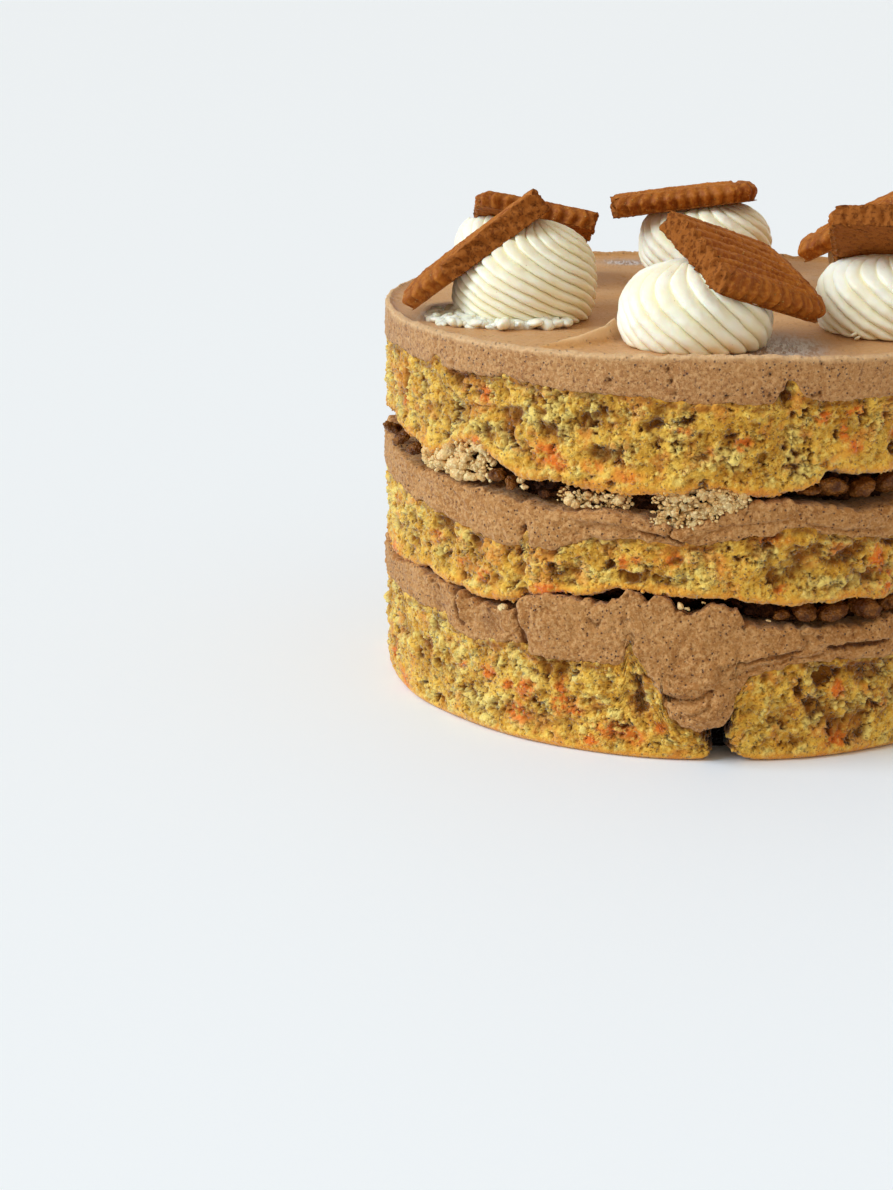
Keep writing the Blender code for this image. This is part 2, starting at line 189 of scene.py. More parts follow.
def new_tree(name, inputs):
    """An empty tree with a geometry input and output, and named inputs: label, kind of socket, first value."""
    tree = bpy.data.node_groups.new(name, "GeometryNodeTree")
    tree.interface.new_socket("Geometry", in_out="INPUT", socket_type="NodeSocketGeometry")
    for label, kind, value in inputs:
        socket = tree.interface.new_socket(label, in_out="INPUT", socket_type="NodeSocket" + kind)
        if value is not None:
            socket.default_value = value
    tree.interface.new_socket("Geometry", in_out="OUTPUT", socket_type="NodeSocketGeometry")
    entry = tree.nodes.new("NodeGroupInput")
    leave = tree.nodes.new("NodeGroupOutput")
    return tree, {s.name: Field(s) for s in entry.outputs if s.name}, leave


def place_in(tree):
    """Each point's place, in mm."""
    place = Field(add_node(tree, "GeometryNodeInputPosition").outputs[0])
    return vector_math("SCALE", place, scale=1 / MM)


def normal_in(tree):
    return Field(add_node(tree, "GeometryNodeInputNormal").outputs[0])


def marked(tree, name):
    """The number that mark stored under this name."""
    return Field(add_node(tree, "GeometryNodeInputNamedAttribute", {"Name": name}).outputs[0])


def keep_value(tree, geometry, name, value):
    """Stores a value on each point, for the finish to read."""
    kept = add_node(
        tree, "GeometryNodeStoreNamedAttribute", {"Geometry": geometry, "Name": name}, data_type="FLOAT")
    feed(next(s for s in kept.inputs if s.name == "Value" and s.enabled), value)
    return Field(kept.outputs[0])


def shift(tree, geometry, offset):
    return Field(add_node(tree, "GeometryNodeSetPosition", {"Geometry": geometry, "Offset": offset}).outputs[0])


def end_tree(tree, leave, geometry, finish, smooth=False):
    """Every tree ends the same way: instances made real, and the finish set."""
    if smooth:
        geometry = Field(add_node(tree, "GeometryNodeSetShadeSmooth", {"Geometry": geometry}).outputs[0])
    real = add_node(tree, "GeometryNodeRealizeInstances", {"Geometry": geometry})
    dressed = add_node(tree, "GeometryNodeSetMaterial", {"Geometry": Field(real.outputs[0])})
    feed(dressed.inputs["Material"], finish)
    feed(leave.inputs["Geometry"], Field(dressed.outputs[0]))


def run_tree(piece, tree, **values):
    """Runs a tree on a piece and keeps its result as the piece's plain mesh."""
    live = piece.modifiers.new(tree.name, "NODES")
    live.node_group = tree
    for item in tree.interface.items_tree:
        key = getattr(item, "name", "").replace(" ", "_").lower()
        if getattr(item, "in_out", "") == "INPUT" and key in values:
            live[item.identifier] = values[key]
    ready = piece.evaluated_get(bpy.context.evaluated_depsgraph_get())
    result = bpy.data.meshes.new_from_object(ready)
    piece.modifiers.remove(live)
    piece.data = result
    result.name = piece.name
    return piece


def settle(piece, slot, *stands_for):
    """The last step for each piece: what it rides on, and the solids that it stands for. Its slot is not used.
    """
    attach(piece, "root")
    if stands_for:
        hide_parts(*stands_for)
    print(f"{piece.name}: {sum(len(p.vertices) - 2 for p in piece.data.polygons)} triangles")


print("helpers ready")

# %% [markdown]
# ## Finishes
# A finish is built from what makes the real thing look as it does. Cut sponge is golden where it met the tin
# and stained orange round each shred of carrot, and its finish adds a painted highlight on the tips of its
# crumb and painted shade in its pores. The relief trees store those places on the mesh, so colour and shape
# agree.
# Colours are given as a paint chart's 0 to 255 values and turned into the linear ones that shaders need.

# %% Colour helpers
def tone(red, green, blue):
    """A linear colour from 0 to 255 values."""
    return tuple((c / 255) ** 2.2 for c in (red, green, blue)) + (1.0,)


def mixed(share, first, second):
    """Goes from the first colour to the second as share goes from 0 to 1."""
    made = add_node(share.tree, "ShaderNodeMix", data_type="RGBA")
    for place, value in ((0, share), (6, first), (7, second)):
        feed(made.inputs[place], value)
    return Field(made.outputs[2])


def painted(body, *coats):
    """Lays coats over a colour, one after another: how much of each, and its 0 to 255 values."""
    for share, paint in coats:
        body = mixed(share, body, tone(*paint))
    return body


def new_finish(name, roughness, spread=0.0, gloss=0.2, fuzz=0.0):
    """A material with a Principled shader, and the place on the object in mm.

    Spread is how much light passes through, and fuzz is the cool bloom of a floury or whipped surface.
    """
    made = bpy.data.materials.new(name)
    made.use_nodes = True
    tree = made.node_tree
    shader = tree.nodes["Principled BSDF"]
    shader.inputs["Roughness"].default_value = roughness
    shader.inputs["Specular IOR Level"].default_value = gloss
    shader.inputs["Sheen Weight"].default_value = fuzz
    shader.inputs["Sheen Roughness"].default_value = 0.35
    shader.inputs["Sheen Tint"].default_value = (0.86, 0.93, 1.0, 1.0)
    if spread:
        shader.inputs["Subsurface Weight"].default_value = spread
        shader.inputs["Subsurface Radius"].default_value = (1.0, 0.6, 0.35)
        shader.inputs["Subsurface Scale"].default_value = 1.2 * MM
    where = Field(add_node(tree, "ShaderNodeTexCoord").outputs["Object"])
    return made, shader, vector_math("SCALE", where, scale=1 / MM)


def stored(tree, name):
    """What a relief tree stored under this name."""
    return Field(add_node(tree, "ShaderNodeAttribute", attribute_name=name).outputs["Fac"])


def bumped(shader, height, depth):
    """Relief too fine for the mesh, depth mm high."""
    made = add_node(height.tree, "ShaderNodeBump", {"Height": height})
    made.inputs["Distance"].default_value = depth * MM
    made.inputs["Strength"].default_value = 1.0
    feed(shader.inputs["Normal"], Field(made.outputs[0]))


print("colour helpers ready")

# %% Sponge
def sponge_finish():
    """Crumb, with a pale painted highlight on its tips and brown painted shade in its pores, orange by the
    carrot and toasted where it baked.
    """
    made, shader, where = new_finish("sponge", 0.85, fuzz=0.4)
    painted_pit_shade, crust, carrot, tuft, seam = (
        stored(made.node_tree, name) for name in ("painted_pit_shade", "crust", "carrot", "tuft", "seam"))
    grain = lumps(vector_math("ADD", where, noise(where, 1.5, 2.0, output="Color")), 1.0)
    pinhole = ramp(lumps(where, 1.25), 0.22, 0.12) * ramp(noise(where, 3.0, 2.0), 0.42, 0.54)
    carroty = carrot * ramp(noise(where, 2.2, 4.0, 0.6), 0.34, 0.56)
    body = painted(
        mixed(ramp(noise(where, 8.0, 4.0, 0.6), 0.38, 0.62), tone(222, 160, 54), tone(248, 196, 80)),
        (ramp(noise(where, 4.6, 3.0), 0.52, 0.64) * 0.75, (196, 144, 48)),
        (ramp(noise(where, 1.5, 4.0, 0.65), 0.50, 0.62) * 0.5, (255, 220, 112)),
        (ramp(noise(where, 1.0, 3.0, 0.65), 0.46, 0.34) * 0.75, (146, 84, 20)),
        # Painted highlight: the tips of the rough tufts are paler.
        (ramp(tuft, 0.15, 0.7) * 0.75, (255, 228, 128)),
        (ramp(crust + noise(where, 3.4, 3.0) * 1.1, 1.0, 1.5) * 0.9, (238, 160, 58)),
        (ramp(noise(where, 6.5, 4.0, 0.6), 0.51, 0.64) * 0.65, (232, 144, 62)),
        (ramp(carroty, 0.02, 0.8) * 0.92, (238, 118, 40)),
        (ramp(noise(where, 1.2, 3.0), 0.54, 0.66) * 0.4, (255, 222, 120)),
        # Painted shade: brown in the pores by their depth, and near black deep in the crack and the dents.
        (ramp(painted_pit_shade, 0.28, 0.74) * 0.88, (126, 68, 8)),
        # Partly toasted crust, partly painted shadow under the cream's edge.
        (seam * ramp(noise(where, 4.5, 3.0), 0.40, 0.56) * 0.8, (126, 60, 14)),
        (ramp(painted_pit_shade, 1.2, 1.6), (26, 11, 4)),
        # Painted shade in the pinholes.
        (pinhole * 0.5, (112, 60, 18)),
    )
    feed(shader.inputs["Base Color"], body)
    bumped(shader, noise(where, 0.8, 4.0, 0.65) + ramp(grain, 0.6, 0.1) * 0.5 - pinhole * 0.9, 0.45)
    return made


SPONGE = sponge_finish()
print(SPONGE.name, len(SPONGE.node_tree.nodes), "nodes")

# %% Buttercream
def buttercream_finish(name, top):
    """Matte whipped cream with pinprick air holes, darkened as painted shade, as are the relief's holes and
    creases. The frosting's top is smoothed by a palette knife.
    """
    made, shader, where = new_finish(name, 0.62, 0.12, 0.45 if top else 0.2, 0.2)
    tree = made.node_tree
    holes = ramp(lumps(where, 1.15), 0.24, 0.12) * ramp(noise(where, 3.0), 0.44, 0.54)
    spice = ramp(lumps(vector_math("ADD", where, (31.0, 7.0, 3.0)), 0.8), 0.13, 0.06)
    body = painted(
        mixed(ramp(noise(where, 12.0, 3.0), 0.3, 0.7), tone(188, 133, 76), tone(172, 116, 61)),
        (ramp(noise(where, 0.9, 4.0, 0.65), 0.42, 0.62) * 0.8, (214, 163, 106)),
        (ramp(noise(where, 0.7, 3.0, 0.6), 0.46, 0.34) * 0.75, (134, 84, 42)),
        # Painted shade in the air holes.
        (holes * 0.9, (92, 50, 22)),
        (spice * 0.55, (122, 74, 38)),
        # Painted shade where the relief stored holes and creases.
        (ramp(stored(tree, "painted_pit_shade"), 0.2, 0.8) * 0.75, (104, 60, 28)),
    )
    grain = noise(where, 0.8, 4.0, 0.65)
    if top:
        smoothed, wrinkles_and_painted_sheen, painted_crest_highlight = (stored(tree, name) for name in ("smoothed", "wrinkles_and_painted_sheen", "painted_crest_highlight"))
        streaks_and_glints = noise(vector_math("MULTIPLY", where, (1.7, 0.28, 1.0)), 1.1, 2.0)
        body = painted(
            body,
            (smoothed * 0.7, (208, 150, 84)),
            # The wrinkled patches get a painted grey sheen with pale painted glints along the streaks; their
            # bump and lower roughness are real.
            (wrinkles_and_painted_sheen * 0.85, (140, 108, 90)),
            (wrinkles_and_painted_sheen * ramp(streaks_and_glints, 0.45, 0.53), (214, 200, 192)),
            # Painted highlight on the crests of the rim and the curl.
            (painted_crest_highlight, (236, 194, 142)),
        )
        feed(shader.inputs["Roughness"], 0.66 - smoothed * 0.22 - wrinkles_and_painted_sheen * 0.18)
        bumped(shader, grain * (1.9 - smoothed * 1.2) + streaks_and_glints * wrinkles_and_painted_sheen * 2.4 - holes * 1.8, 0.3)
    else:
        bumped(shader, grain * 1.8 - holes * 1.8, 0.3)
    feed(shader.inputs["Base Color"], body)
    return made


BUTTERCREAM = buttercream_finish("spiced_buttercream", False)
FROSTING = buttercream_finish("spiced_buttercream_smoothed", True)
print(BUTTERCREAM.name, FROSTING.name)

# %% Crumb fillings, white cream and biscuit
def crumb_finish(name, light, dark, gloss=0.8, shade=0.45, spread=0.0):
    """Crumb from light to dark, with painted shade between its grains, as dark as the dark colour times shade.
    """
    made, shader, where = new_finish(name, gloss, spread)
    grain = lumps(where, 0.6)
    body = mixed(ramp(noise(where, 2.2, 3.0), 0.35, 0.65), light, dark)
    # Painted shade between the grains.
    body = mixed(ramp(grain, 0.2, 0.8) * 0.6, body, tuple(c * shade for c in dark[:3]) + (1.0,))
    feed(shader.inputs["Base Color"], body)
    bumped(shader, ramp(grain, 0.8, 0.1) + noise(where, 0.4, 2.0), 0.18)
    return made


def white_cream_finish():
    """Ivory cream with a few specks of vanilla, and painted shade, darker and yellower, in the creases between
    its ridges.
    """
    made, shader, where = new_finish("white_cream", 0.42, 0.35, 0.4)
    body = painted(
        mixed(ramp(noise(where, 7.0), 0.35, 0.65), tone(251, 247, 227), tone(247, 239, 209)),
        (ramp(stored(made.node_tree, "valley"), 0.2, 1.0) * 0.55, (246, 230, 178)),
        (ramp(lumps(where, 2.6), 0.055, 0.03) * 0.6, (140, 106, 70)),
    )
    feed(shader.inputs["Base Color"], body)
    bumped(shader, noise(where, 0.8, 3.0), 0.05)
    return made


def biscuit_finish():
    """Caramelised biscuit: a smooth toasted skin, paler sugar grains, and an open crumb where it is broken,
    with painted shade in its grooves and in the holes of a break.
    """
    made, shader, where = new_finish("biscuit", 0.62)
    raw, groove = stored(made.node_tree, "raw"), stored(made.node_tree, "groove")
    sugar = ramp(lumps(where, 1.3), 0.20, 0.08) * ramp(noise(where, 4.0), 0.36, 0.54)
    holes = ramp(noise(where, 1.0, 4.0, 0.65), 0.53, 0.64)
    body = painted(
        mixed(ramp(noise(where, 6.0, 3.0), 0.3, 0.7), tone(174, 100, 32), tone(144, 74, 20)),
        (ramp(noise(where, 0.9, 3.0), 0.42, 0.62) * 0.6, (192, 120, 46)),
        (sugar * 0.75, (232, 180, 106)),
        # Painted shade in the crimps and the low parts of the top.
        (groove * 0.45, (112, 56, 16)),
    )
    # The holes of a break are darker: painted shade.
    body = mixed(raw, body, mixed(holes, tone(158, 92, 38), tone(130, 70, 26)))
    feed(shader.inputs["Base Color"], body)
    feed(shader.inputs["Roughness"], 0.55 + raw * 0.35)
    bumped(shader, noise(where, 0.7, 4.0, 0.6) * (0.9 + raw * 0.6) - holes * raw * 0.6 + sugar * 1.0, 0.28)
    return made


PALE_CRUMB = crumb_finish("crumb_pale", tone(255, 226, 168), tone(236, 188, 122), shade=0.72, spread=0.25)
BROWN_CRUMB = crumb_finish("crumb_brown", tone(104, 62, 30), tone(46, 22, 9))
SOAKED_CRUMB = crumb_finish("crumb_soaked", tone(146, 94, 44), tone(88, 48, 20), 0.25, 0.7, 0.2)
WHITE_CREAM = white_cream_finish()
BISCUIT = biscuit_finish()
print("finishes:", [m.name for m in (PALE_CRUMB, BROWN_CRUMB, SOAKED_CRUMB, WHITE_CREAM, BISCUIT)])

# %% [markdown]
# ## The edges of the layers
# A naked cake shows each layer's upper and lower edge, and none of them is level: the sponges are torn, and
# the buttercream is pressed out between them and smeared. Each edge is a short list of heights round the
# cake, taken where it turns, and joined by an eased curve. Angles run from the front (-Y) to the right (+X).

# %% Edge curves: angle in degrees, height in mm
LOWER_CREAM_LOW = (
    (-90, 24), (-70, 24), (-50, 23.6), (-44, 21), (-40, 20.6), (-36, 21.4), (-31, 22.5), (-27, 20.4),
    (-22, 20.6), (-13, 20.9), (-11.6, 21.6), (-10.6, 26), (-9.4, 23.4), (-7, 19.4), (-5.4, 16.6),
    (-4.4, 12.6), (-3, 9.8), (-1, 8.5), (1.5, 7.9), (4, 8.0), (5.6, 9.0), (6.8, 11.6), (7.6, 16.4),
    (9.5, 19.6), (13, 20.8), (19, 22.4), (24, 22), (32, 21.5), (60, 22.8), (85, 20.2), (97, 26.4),
    (112, 23), (140, 21), (148, 16), (160, 21.4), (200, 23.2), (235, 20.8),
)
LOWER_CREAM_HIGH = (
    (-90, 31.5), (-70, 30.2), (-60, 32.4), (-50, 31.6), (-45, 31), (-40, 29.6), (-33, 29.4), (-31.6, 30),
    (-30.6, 33.4), (-28, 34.2), (-25, 35.5), (-21, 35), (-16, 34.8), (-13.4, 35.6), (-11, 38.3), (-9.4, 38),
    (-8, 36), (-6.4, 37.2), (-5, 37.4), (-3.8, 36.6), (-3, 34.2), (0, 33.6), (2.4, 35.8), (4, 36), (7, 34.6),
    (8.5, 32.3), (10, 30.8), (20, 30), (24, 30.2), (28, 29.2), (33, 30.5), (50, 33.5), (75, 31), (100, 34.5),
    (125, 31.5), (150, 36), (175, 32), (205, 34.5), (235, 30.5), (255, 33),
)
MIDDLE_SPONGE_LOW = (
    (-90, 33), (-65, 31.8), (-55, 33.1), (-46, 32.4), (-38, 31.4), (-33, 32.4), (-30, 34.2), (-20, 36),
    (-11, 38), (-5, 38), (0, 37.6), (5, 37.5), (10, 36.4), (15, 35.8), (20, 35.6), (28, 36.3), (32, 34.6),
    (60, 36.6), (90, 35.4), (120, 36.9), (150, 36.4), (180, 35.2), (210, 36.8), (240, 34.8),
)
UPPER_CREAM_LOW = (
    (-90, 49.5), (-65, 49.3), (-57, 48.6), (-50, 47.5), (-40, 45.8), (-34, 44.8), (-31, 45), (-29.6, 47),
    (-28.8, 48), (-27.6, 45.2), (-25, 45.2), (-22, 46.5), (-17, 49), (-10, 50), (-6, 49.6), (0, 49.1),
    (5, 49.8), (10, 51), (17, 52.8), (22, 50.6), (30, 49.3), (34, 48.8), (55, 47), (80, 50.5), (105, 48.5),
    (135, 46.5), (165, 50), (195, 48), (225, 50.3), (250, 48.2),
)
UPPER_CREAM_HIGH = (
    (-90, 58.5), (-75, 58), (-65, 57.4), (-57, 56.4), (-50, 56.6), (-43, 55.6), (-40, 56.2), (-36, 55.8),
    (-30, 55), (-24, 54.2), (-20, 54.6), (-14, 55.4), (-10, 54.4), (-6, 53.4), (-3, 52.6), (0, 53.6), (3, 55),
    (6, 57), (10, 58.5), (14, 58.8), (17, 58.2), (20, 57.4), (28, 55.6), (34, 55.8), (55, 56.5), (80, 58.5),
    (105, 55), (130, 57.5), (160, 55), (190, 58), (220, 55.5), (245, 57.5),
)
TOP_SPONGE_LOW = (
    (-90, 64.5), (-70, 65), (-64, 63.4), (-60, 63), (-53, 61.4), (-49, 62.4), (-46, 65), (-42, 66.4),
    (-38, 65), (-36, 63.4), (-30, 61), (-20, 60.4), (-10, 60), (-4, 61), (0, 61.6), (4, 61.4), (8, 60.2),
    (12, 60), (16, 60.8), (20, 62.4), (22, 64.4), (30, 64), (36, 64.6), (50, 62), (75, 61), (100, 63.5),
    (125, 60.5), (150, 64), (180, 61), (210, 63.5), (240, 60.8),
)
FROSTING_LOW = (
    (-90, 81), (-75, 81.2), (-65, 82), (-60, 81.2), (-53, 81.2), (-51.4, 83.4), (-50.2, 83), (-49, 81.4),
    (-40, 81.5), (-37, 81.6), (-34, 82.5), (-30, 81.4), (-20, 80.8), (-10, 80.8), (-4, 79.8), (0, 79.2),
    (5, 80), (9, 79.2), (11.6, 79.6), (13, 82.6), (14, 84.7), (14.8, 84.4), (17.4, 80.6), (20, 79.8),
    (30, 79.8), (60, 80.8), (90, 79.6), (118, 81), (130, 81), (134, 84.6), (138, 80.6), (150, 80),
    (180, 81.3), (210, 79.9), (218, 80.2), (222, 83.6), (227, 80.4), (240, 81),
)
FROSTING_HIGH = (
    (-90, 89.4), (-80, 89.5), (-60, 89), (-40, 88.8), (-20, 89), (-8, 89.4), (0, 89.9), (10, 89.9),
    (20, 89.1), (30, 88.6), (60, 89.2), (90, 89.6), (120, 88.9), (150, 89.2), (180, 88.8), (210, 89.7),
    (240, 89),
)


def edge(turns, angles):
    """The height at each angle of the smooth closed curve through the turns."""
    marks = np.array(turns, float)
    low = marks[0, 0]
    around = (angles - low) % 360 + low
    at = np.append(marks[:, 0], low + 360)
    height = np.append(marks[:, 1], marks[0, 1])
    i = np.clip(np.searchsorted(at, around, side="right") - 1, 0, len(marks) - 1)
    share = (around - at[i]) / (at[i + 1] - at[i])
    return height[i] + (height[i + 1] - height[i]) * share * share * (3 - 2 * share)


def ragged(angles, reach, steps, seed):
    """A small uneven wander round the cake, reach mm either way, with about steps waves in it."""
    pick = np.random.default_rng(seed)
    total = np.zeros_like(angles)
    for i in range(9):
        waves = round(steps * pick.uniform(0.5, 1.6))
        total += pick.uniform(0.4, 1.0) * np.sin(np.radians(angles) * waves + pick.uniform(0, 6.28))
    return total * reach / 3.0


print("edge height of the frosting at the front:", edge(FROSTING_HIGH, np.array([0.0])))

# %% [markdown]
# ## One builder for all the layers
# A layer is a disc, so its surface is a grid: columns go round the cake, and rows go from the middle of its
# underside out to the rim, up the side and back in over the top. The grid is fine only near the side, where
# the crumb shows. What happens at one place on the side, such as a tear or a fold of cream, is a small list
# of marks, and each moves only the points near it.

# %% The grid of a layer
CAKE_RADIUS = 76.0
SHOULDER = 74.2  # the edge curves hold from the side in to here
LEVEL_INSIDE = 58.0  # and a layer is level from here to the axis
ROUND_STEPS = 5


def layer_rows(foot, crest, radius, levels, rounds, step, shelves=None):
    """The radius and height of every row, from the underside's middle to the top's middle.

    Levels are the heights of the flat inner part below and above, and rounds the radii of the two edges.
    """
    shelf = (30, 17, 11, 8, 6, 4.6, 3.6, 2.8, 2.2)
    low_in, high_in = shelves or (shelf, shelf[::-1])

    def inwards(inset, rim, level):
        return rim + (level - rim) * np.clip((SHOULDER - radius + inset) / (SHOULDER - LEVEL_INSIDE), 0, 1)

    rows = [(radius - inset, inwards(inset, foot, levels[0])) for inset in low_in]
    turns = np.radians(np.linspace(0, 90, ROUND_STEPS))
    low, high = (np.minimum(r, 0.3 * (crest - foot)) for r in rounds)
    for t in turns:
        rows.append((radius - low * (1 - math.sin(t)), foot + low * (1 - math.cos(t))))
    count = max(4, round(float(np.mean(crest - foot)) / step))
    for i in range(1, count):
        share = i / count
        rows.append((radius, foot + low + (crest - high - foot - low) * share))
    for t in turns[::-1]:
        rows.append((radius - high * (1 - math.sin(t)), crest - high * (1 - math.cos(t))))
    rows += [(radius - inset, inwards(inset, crest, levels[1])) for inset in high_in]
    return rows


def round_angles(columns):
    """The angle of each column, from the left (-90) round by the front."""
    return np.arange(columns) * 360 / columns - 90


def grid_points(angles, rows):
    """The rows as rings of points: rows, columns, and x, y and z."""
    turn = np.radians(angles)
    rings = []
    for radius, height in rows:
        radius = np.broadcast_to(radius, angles.shape)
        rings.append(np.stack((radius * np.sin(turn), -radius * np.cos(turn), height + 0 * angles), 1))
    return np.array(rings)


def closed_grid(name, rings):
    """A closed piece from rings of points, with a fan at each end."""
    rows, columns = rings.shape[:2]
    points = np.concatenate((rings.reshape(-1, 3), [rings[0].mean(0), rings[-1].mean(0)]))
    ids = np.arange(rows * columns).reshape(rows, columns)
    after = np.roll(ids, -1, axis=1)
    faces = np.stack((ids[:-1], after[:-1], after[1:], ids[1:]), -1).reshape(-1, 4).tolist()
    low, high = rows * columns, rows * columns + 1
    faces += [[low, after[0, i], ids[0, i]] for i in range(columns)]
    faces += [[high, ids[-1, i], after[-1, i]] for i in range(columns)]
    return piece_from(name, points, faces)


def press_in(rings, angles, depth):
    """Moves the points of a grid by a depth towards the cake's axis."""
    turn = np.radians(angles)
    rings[:, :, 0] -= depth * np.sin(turn)
    rings[:, :, 1] += depth * np.cos(turn)


def away_from(angles, middle):
    """How far each angle is from a middle, in mm along the side."""
    return ((angles - middle + 180) % 360 - 180) * math.pi * CAKE_RADIUS / 180


def spots_on(angles, heights, marks):
    """How much each point lies in oval spots: angle, height, half width and half height in mm, strength."""
    total = np.zeros(heights.shape)
    for angle, height, wide, tall, strength in marks:
        off = (away_from(angles, angle) / wide) ** 2 + ((heights - height) / tall) ** 2
        value = strength * np.exp(-off)
        total = np.where(np.abs(value) > np.abs(total), value, total)
    return total


def lines_on(angles, heights, lines):
    """Grooves (depth over 0) and ridges (under 0) along lines on the side: points, half width mm, depth mm."""
    total = np.zeros(heights.shape)
    for path, wide, depth in lines:
        for (a0, z0), (a1, z1) in zip(path, path[1:]):
            run = np.array(((a1 - a0) * math.pi * CAKE_RADIUS / 180, z1 - z0))
            x, z = away_from(angles, a0), heights - z0
            share = np.clip((x * run[0] + z * run[1]) / (run @ run), 0, 1)
            gone = np.hypot(x - share * run[0], z - share * run[1])
            value = depth * np.exp(-(gone / wide) ** 2)
            total = np.where(np.abs(value) > np.abs(total), value, total)
    return total


print("layer builder ready")

# %% [markdown]
# ## The crumb of the sponge
# Cut cake tears into rounded grains between open pores. Two sizes of Voronoi cells give the grains, since a
# cell's distance is lowest in its middle, and thresholded noise opens the pores. The surface is also pushed
# sideways a little, which makes small overhangs that a plain height map can't have. The tree stores how deep
# each point lies, for the finish to darken as painted shade, and the tips of the rough tufts, for a painted
# highlight.

# %% Tree: crumb relief
def crumb_relief_tree():
    tree, entry, leave = new_tree("crumb_relief", (
        ("Coarse Depth", "Float", 1.5), ("Fine Depth", "Float", 0.8), ("Pore Depth", "Float", 2.6),
        ("Pore Share", "Float", 0.5), ("Seed", "Float", 0.0), ("Finish", "Material", None),
    ))
    normal = normal_in(tree)
    seed = entry["Seed"]
    where = vector_math("ADD", place_in(tree), vector(seed * 37.0, seed * 11.0, seed * 23.0))
    wander = jitter(where, 3.0)
    bent = vector_math("ADD", where, vector_math("SCALE", wander, scale=2.4))
    coarse = lumps(bent, 4.4) ** 2.0
    clod = lumps(bent, 2.1) ** 1.5
    crevice = ramp(size_of(noise(bent, 2.6, 4.0, 0.62) - 0.5), 0.075, 0.0)
    opened = entry["Pore Share"] * 0.10
    pores = ramp(noise(bent, 4.6, 5.0, 0.66), 0.64 - opened, 0.73 - opened)
    hollow = ramp(noise(bent, 7.5, 2.0), 0.52, 0.72)
    little = ramp(noise(where, 1.3, 3.0), 0.56, 0.68)
    fizz = (noise(bent, 1.7, 4.0, 0.7) - 0.35) * 2.6
    tuft = ramp(noise(bent, 5.6, 4.0, 0.62), 0.47, 0.57)
    swell = noise(where, 11.0, 1.0) - 0.5
    keep = 1.0 - least(most(marked(tree, "crust"), 0.0), 1.0) * 0.5
    rough = entry["Fine Depth"] * (coarse * 0.6 + clod * 1.1 + crevice * 1.3 + fizz * 0.9)
    smoother = entry["Fine Depth"] * (coarse * 0.4 + clod * 0.3 + crevice * 0.4 + fizz * 0.4 + 0.9)
    depth = (smoother + (rough - smoother) * tuft + (coarse * 0.5 + hollow) * entry["Coarse Depth"] * 0.9
             + pores * entry["Pore Depth"] + little * entry["Fine Depth"] * 0.7) * keep
    shown = marked(tree, "side")
    inward = (swell * 2.4 - depth + 1.3) * shown * MM
    sideways = vector_math("SCALE", wander, scale=shown * keep * 1.3 * MM)
    offset = vector_math("ADD", vector_math("SCALE", normal, scale=inward), sideways)
    # Painted shade: the depth of each point, plus the painted shade of dents and the crack, for the finish to
    # darken.
    kept = keep_value(tree, entry["Geometry"], "painted_pit_shade", depth / 3.6 + marked(tree, "sunk"))
    # Painted highlight: the highest points of the rough tufts, which the finish paints pale.
    kept = keep_value(tree, kept, "tuft", tuft * (1.0 - clod) * keep)
    end_tree(tree, leave, shift(tree, kept, offset), entry["Finish"])
    return tree


CRUMB_RELIEF = crumb_relief_tree()
print(CRUMB_RELIEF.name, len(CRUMB_RELIEF.nodes), "nodes")

# %% [markdown]
# ## The three sponges
# Each is one grid that the crumb relief is run on. Before that, dents and bulges are laid in where
# the real one is torn or lumpy, the bottom one is cracked open under the drip, and the carrot shreds and the
# golden baked edge are marked, because the finish paints them.

# %% Build a sponge
SIDE_COLUMNS = 1040
TUCK = 0.5  # the sponge reaches this far in under the cream, so that no slit shows between them
SPONGE_INSET = 0.7  # the cream stands this far out past the sponge
CRACK_ANGLE, CRACK_TOP, CRACK_DEPTH = 5.5, 18, 12.0
BACK_CARROT = np.random.default_rng(21)


def carrot_spots(front, low, high):
    """The placed shreds, and more of the same kind round the back."""
    limits = ((40, 275), (low, high), (1.0, 3.0), (0.9, 2.4), (0.6, 1.0))
    return tuple(front) + tuple(tuple(BACK_CARROT.uniform(*limit) for limit in limits) for _ in range(30))


def crack_at(around, heights):
    """How far each point lies in the crack, 0 to 1. Its two walls wander, and part at the foot."""
    sway = 0.35 * np.sin(heights * 1.7 + 1) + 0.25 * np.sin(heights * 4.1)
    right = 6.7 + sway + 3.2 * np.exp(-heights / 1.6)
    left = 3.8 - sway * 0.7 - 0.7 * np.exp(-heights / 1.2)
    return 1 / (1 + np.exp(-(around - left) / 0.12)) / (1 + np.exp((around - right) / 0.12))


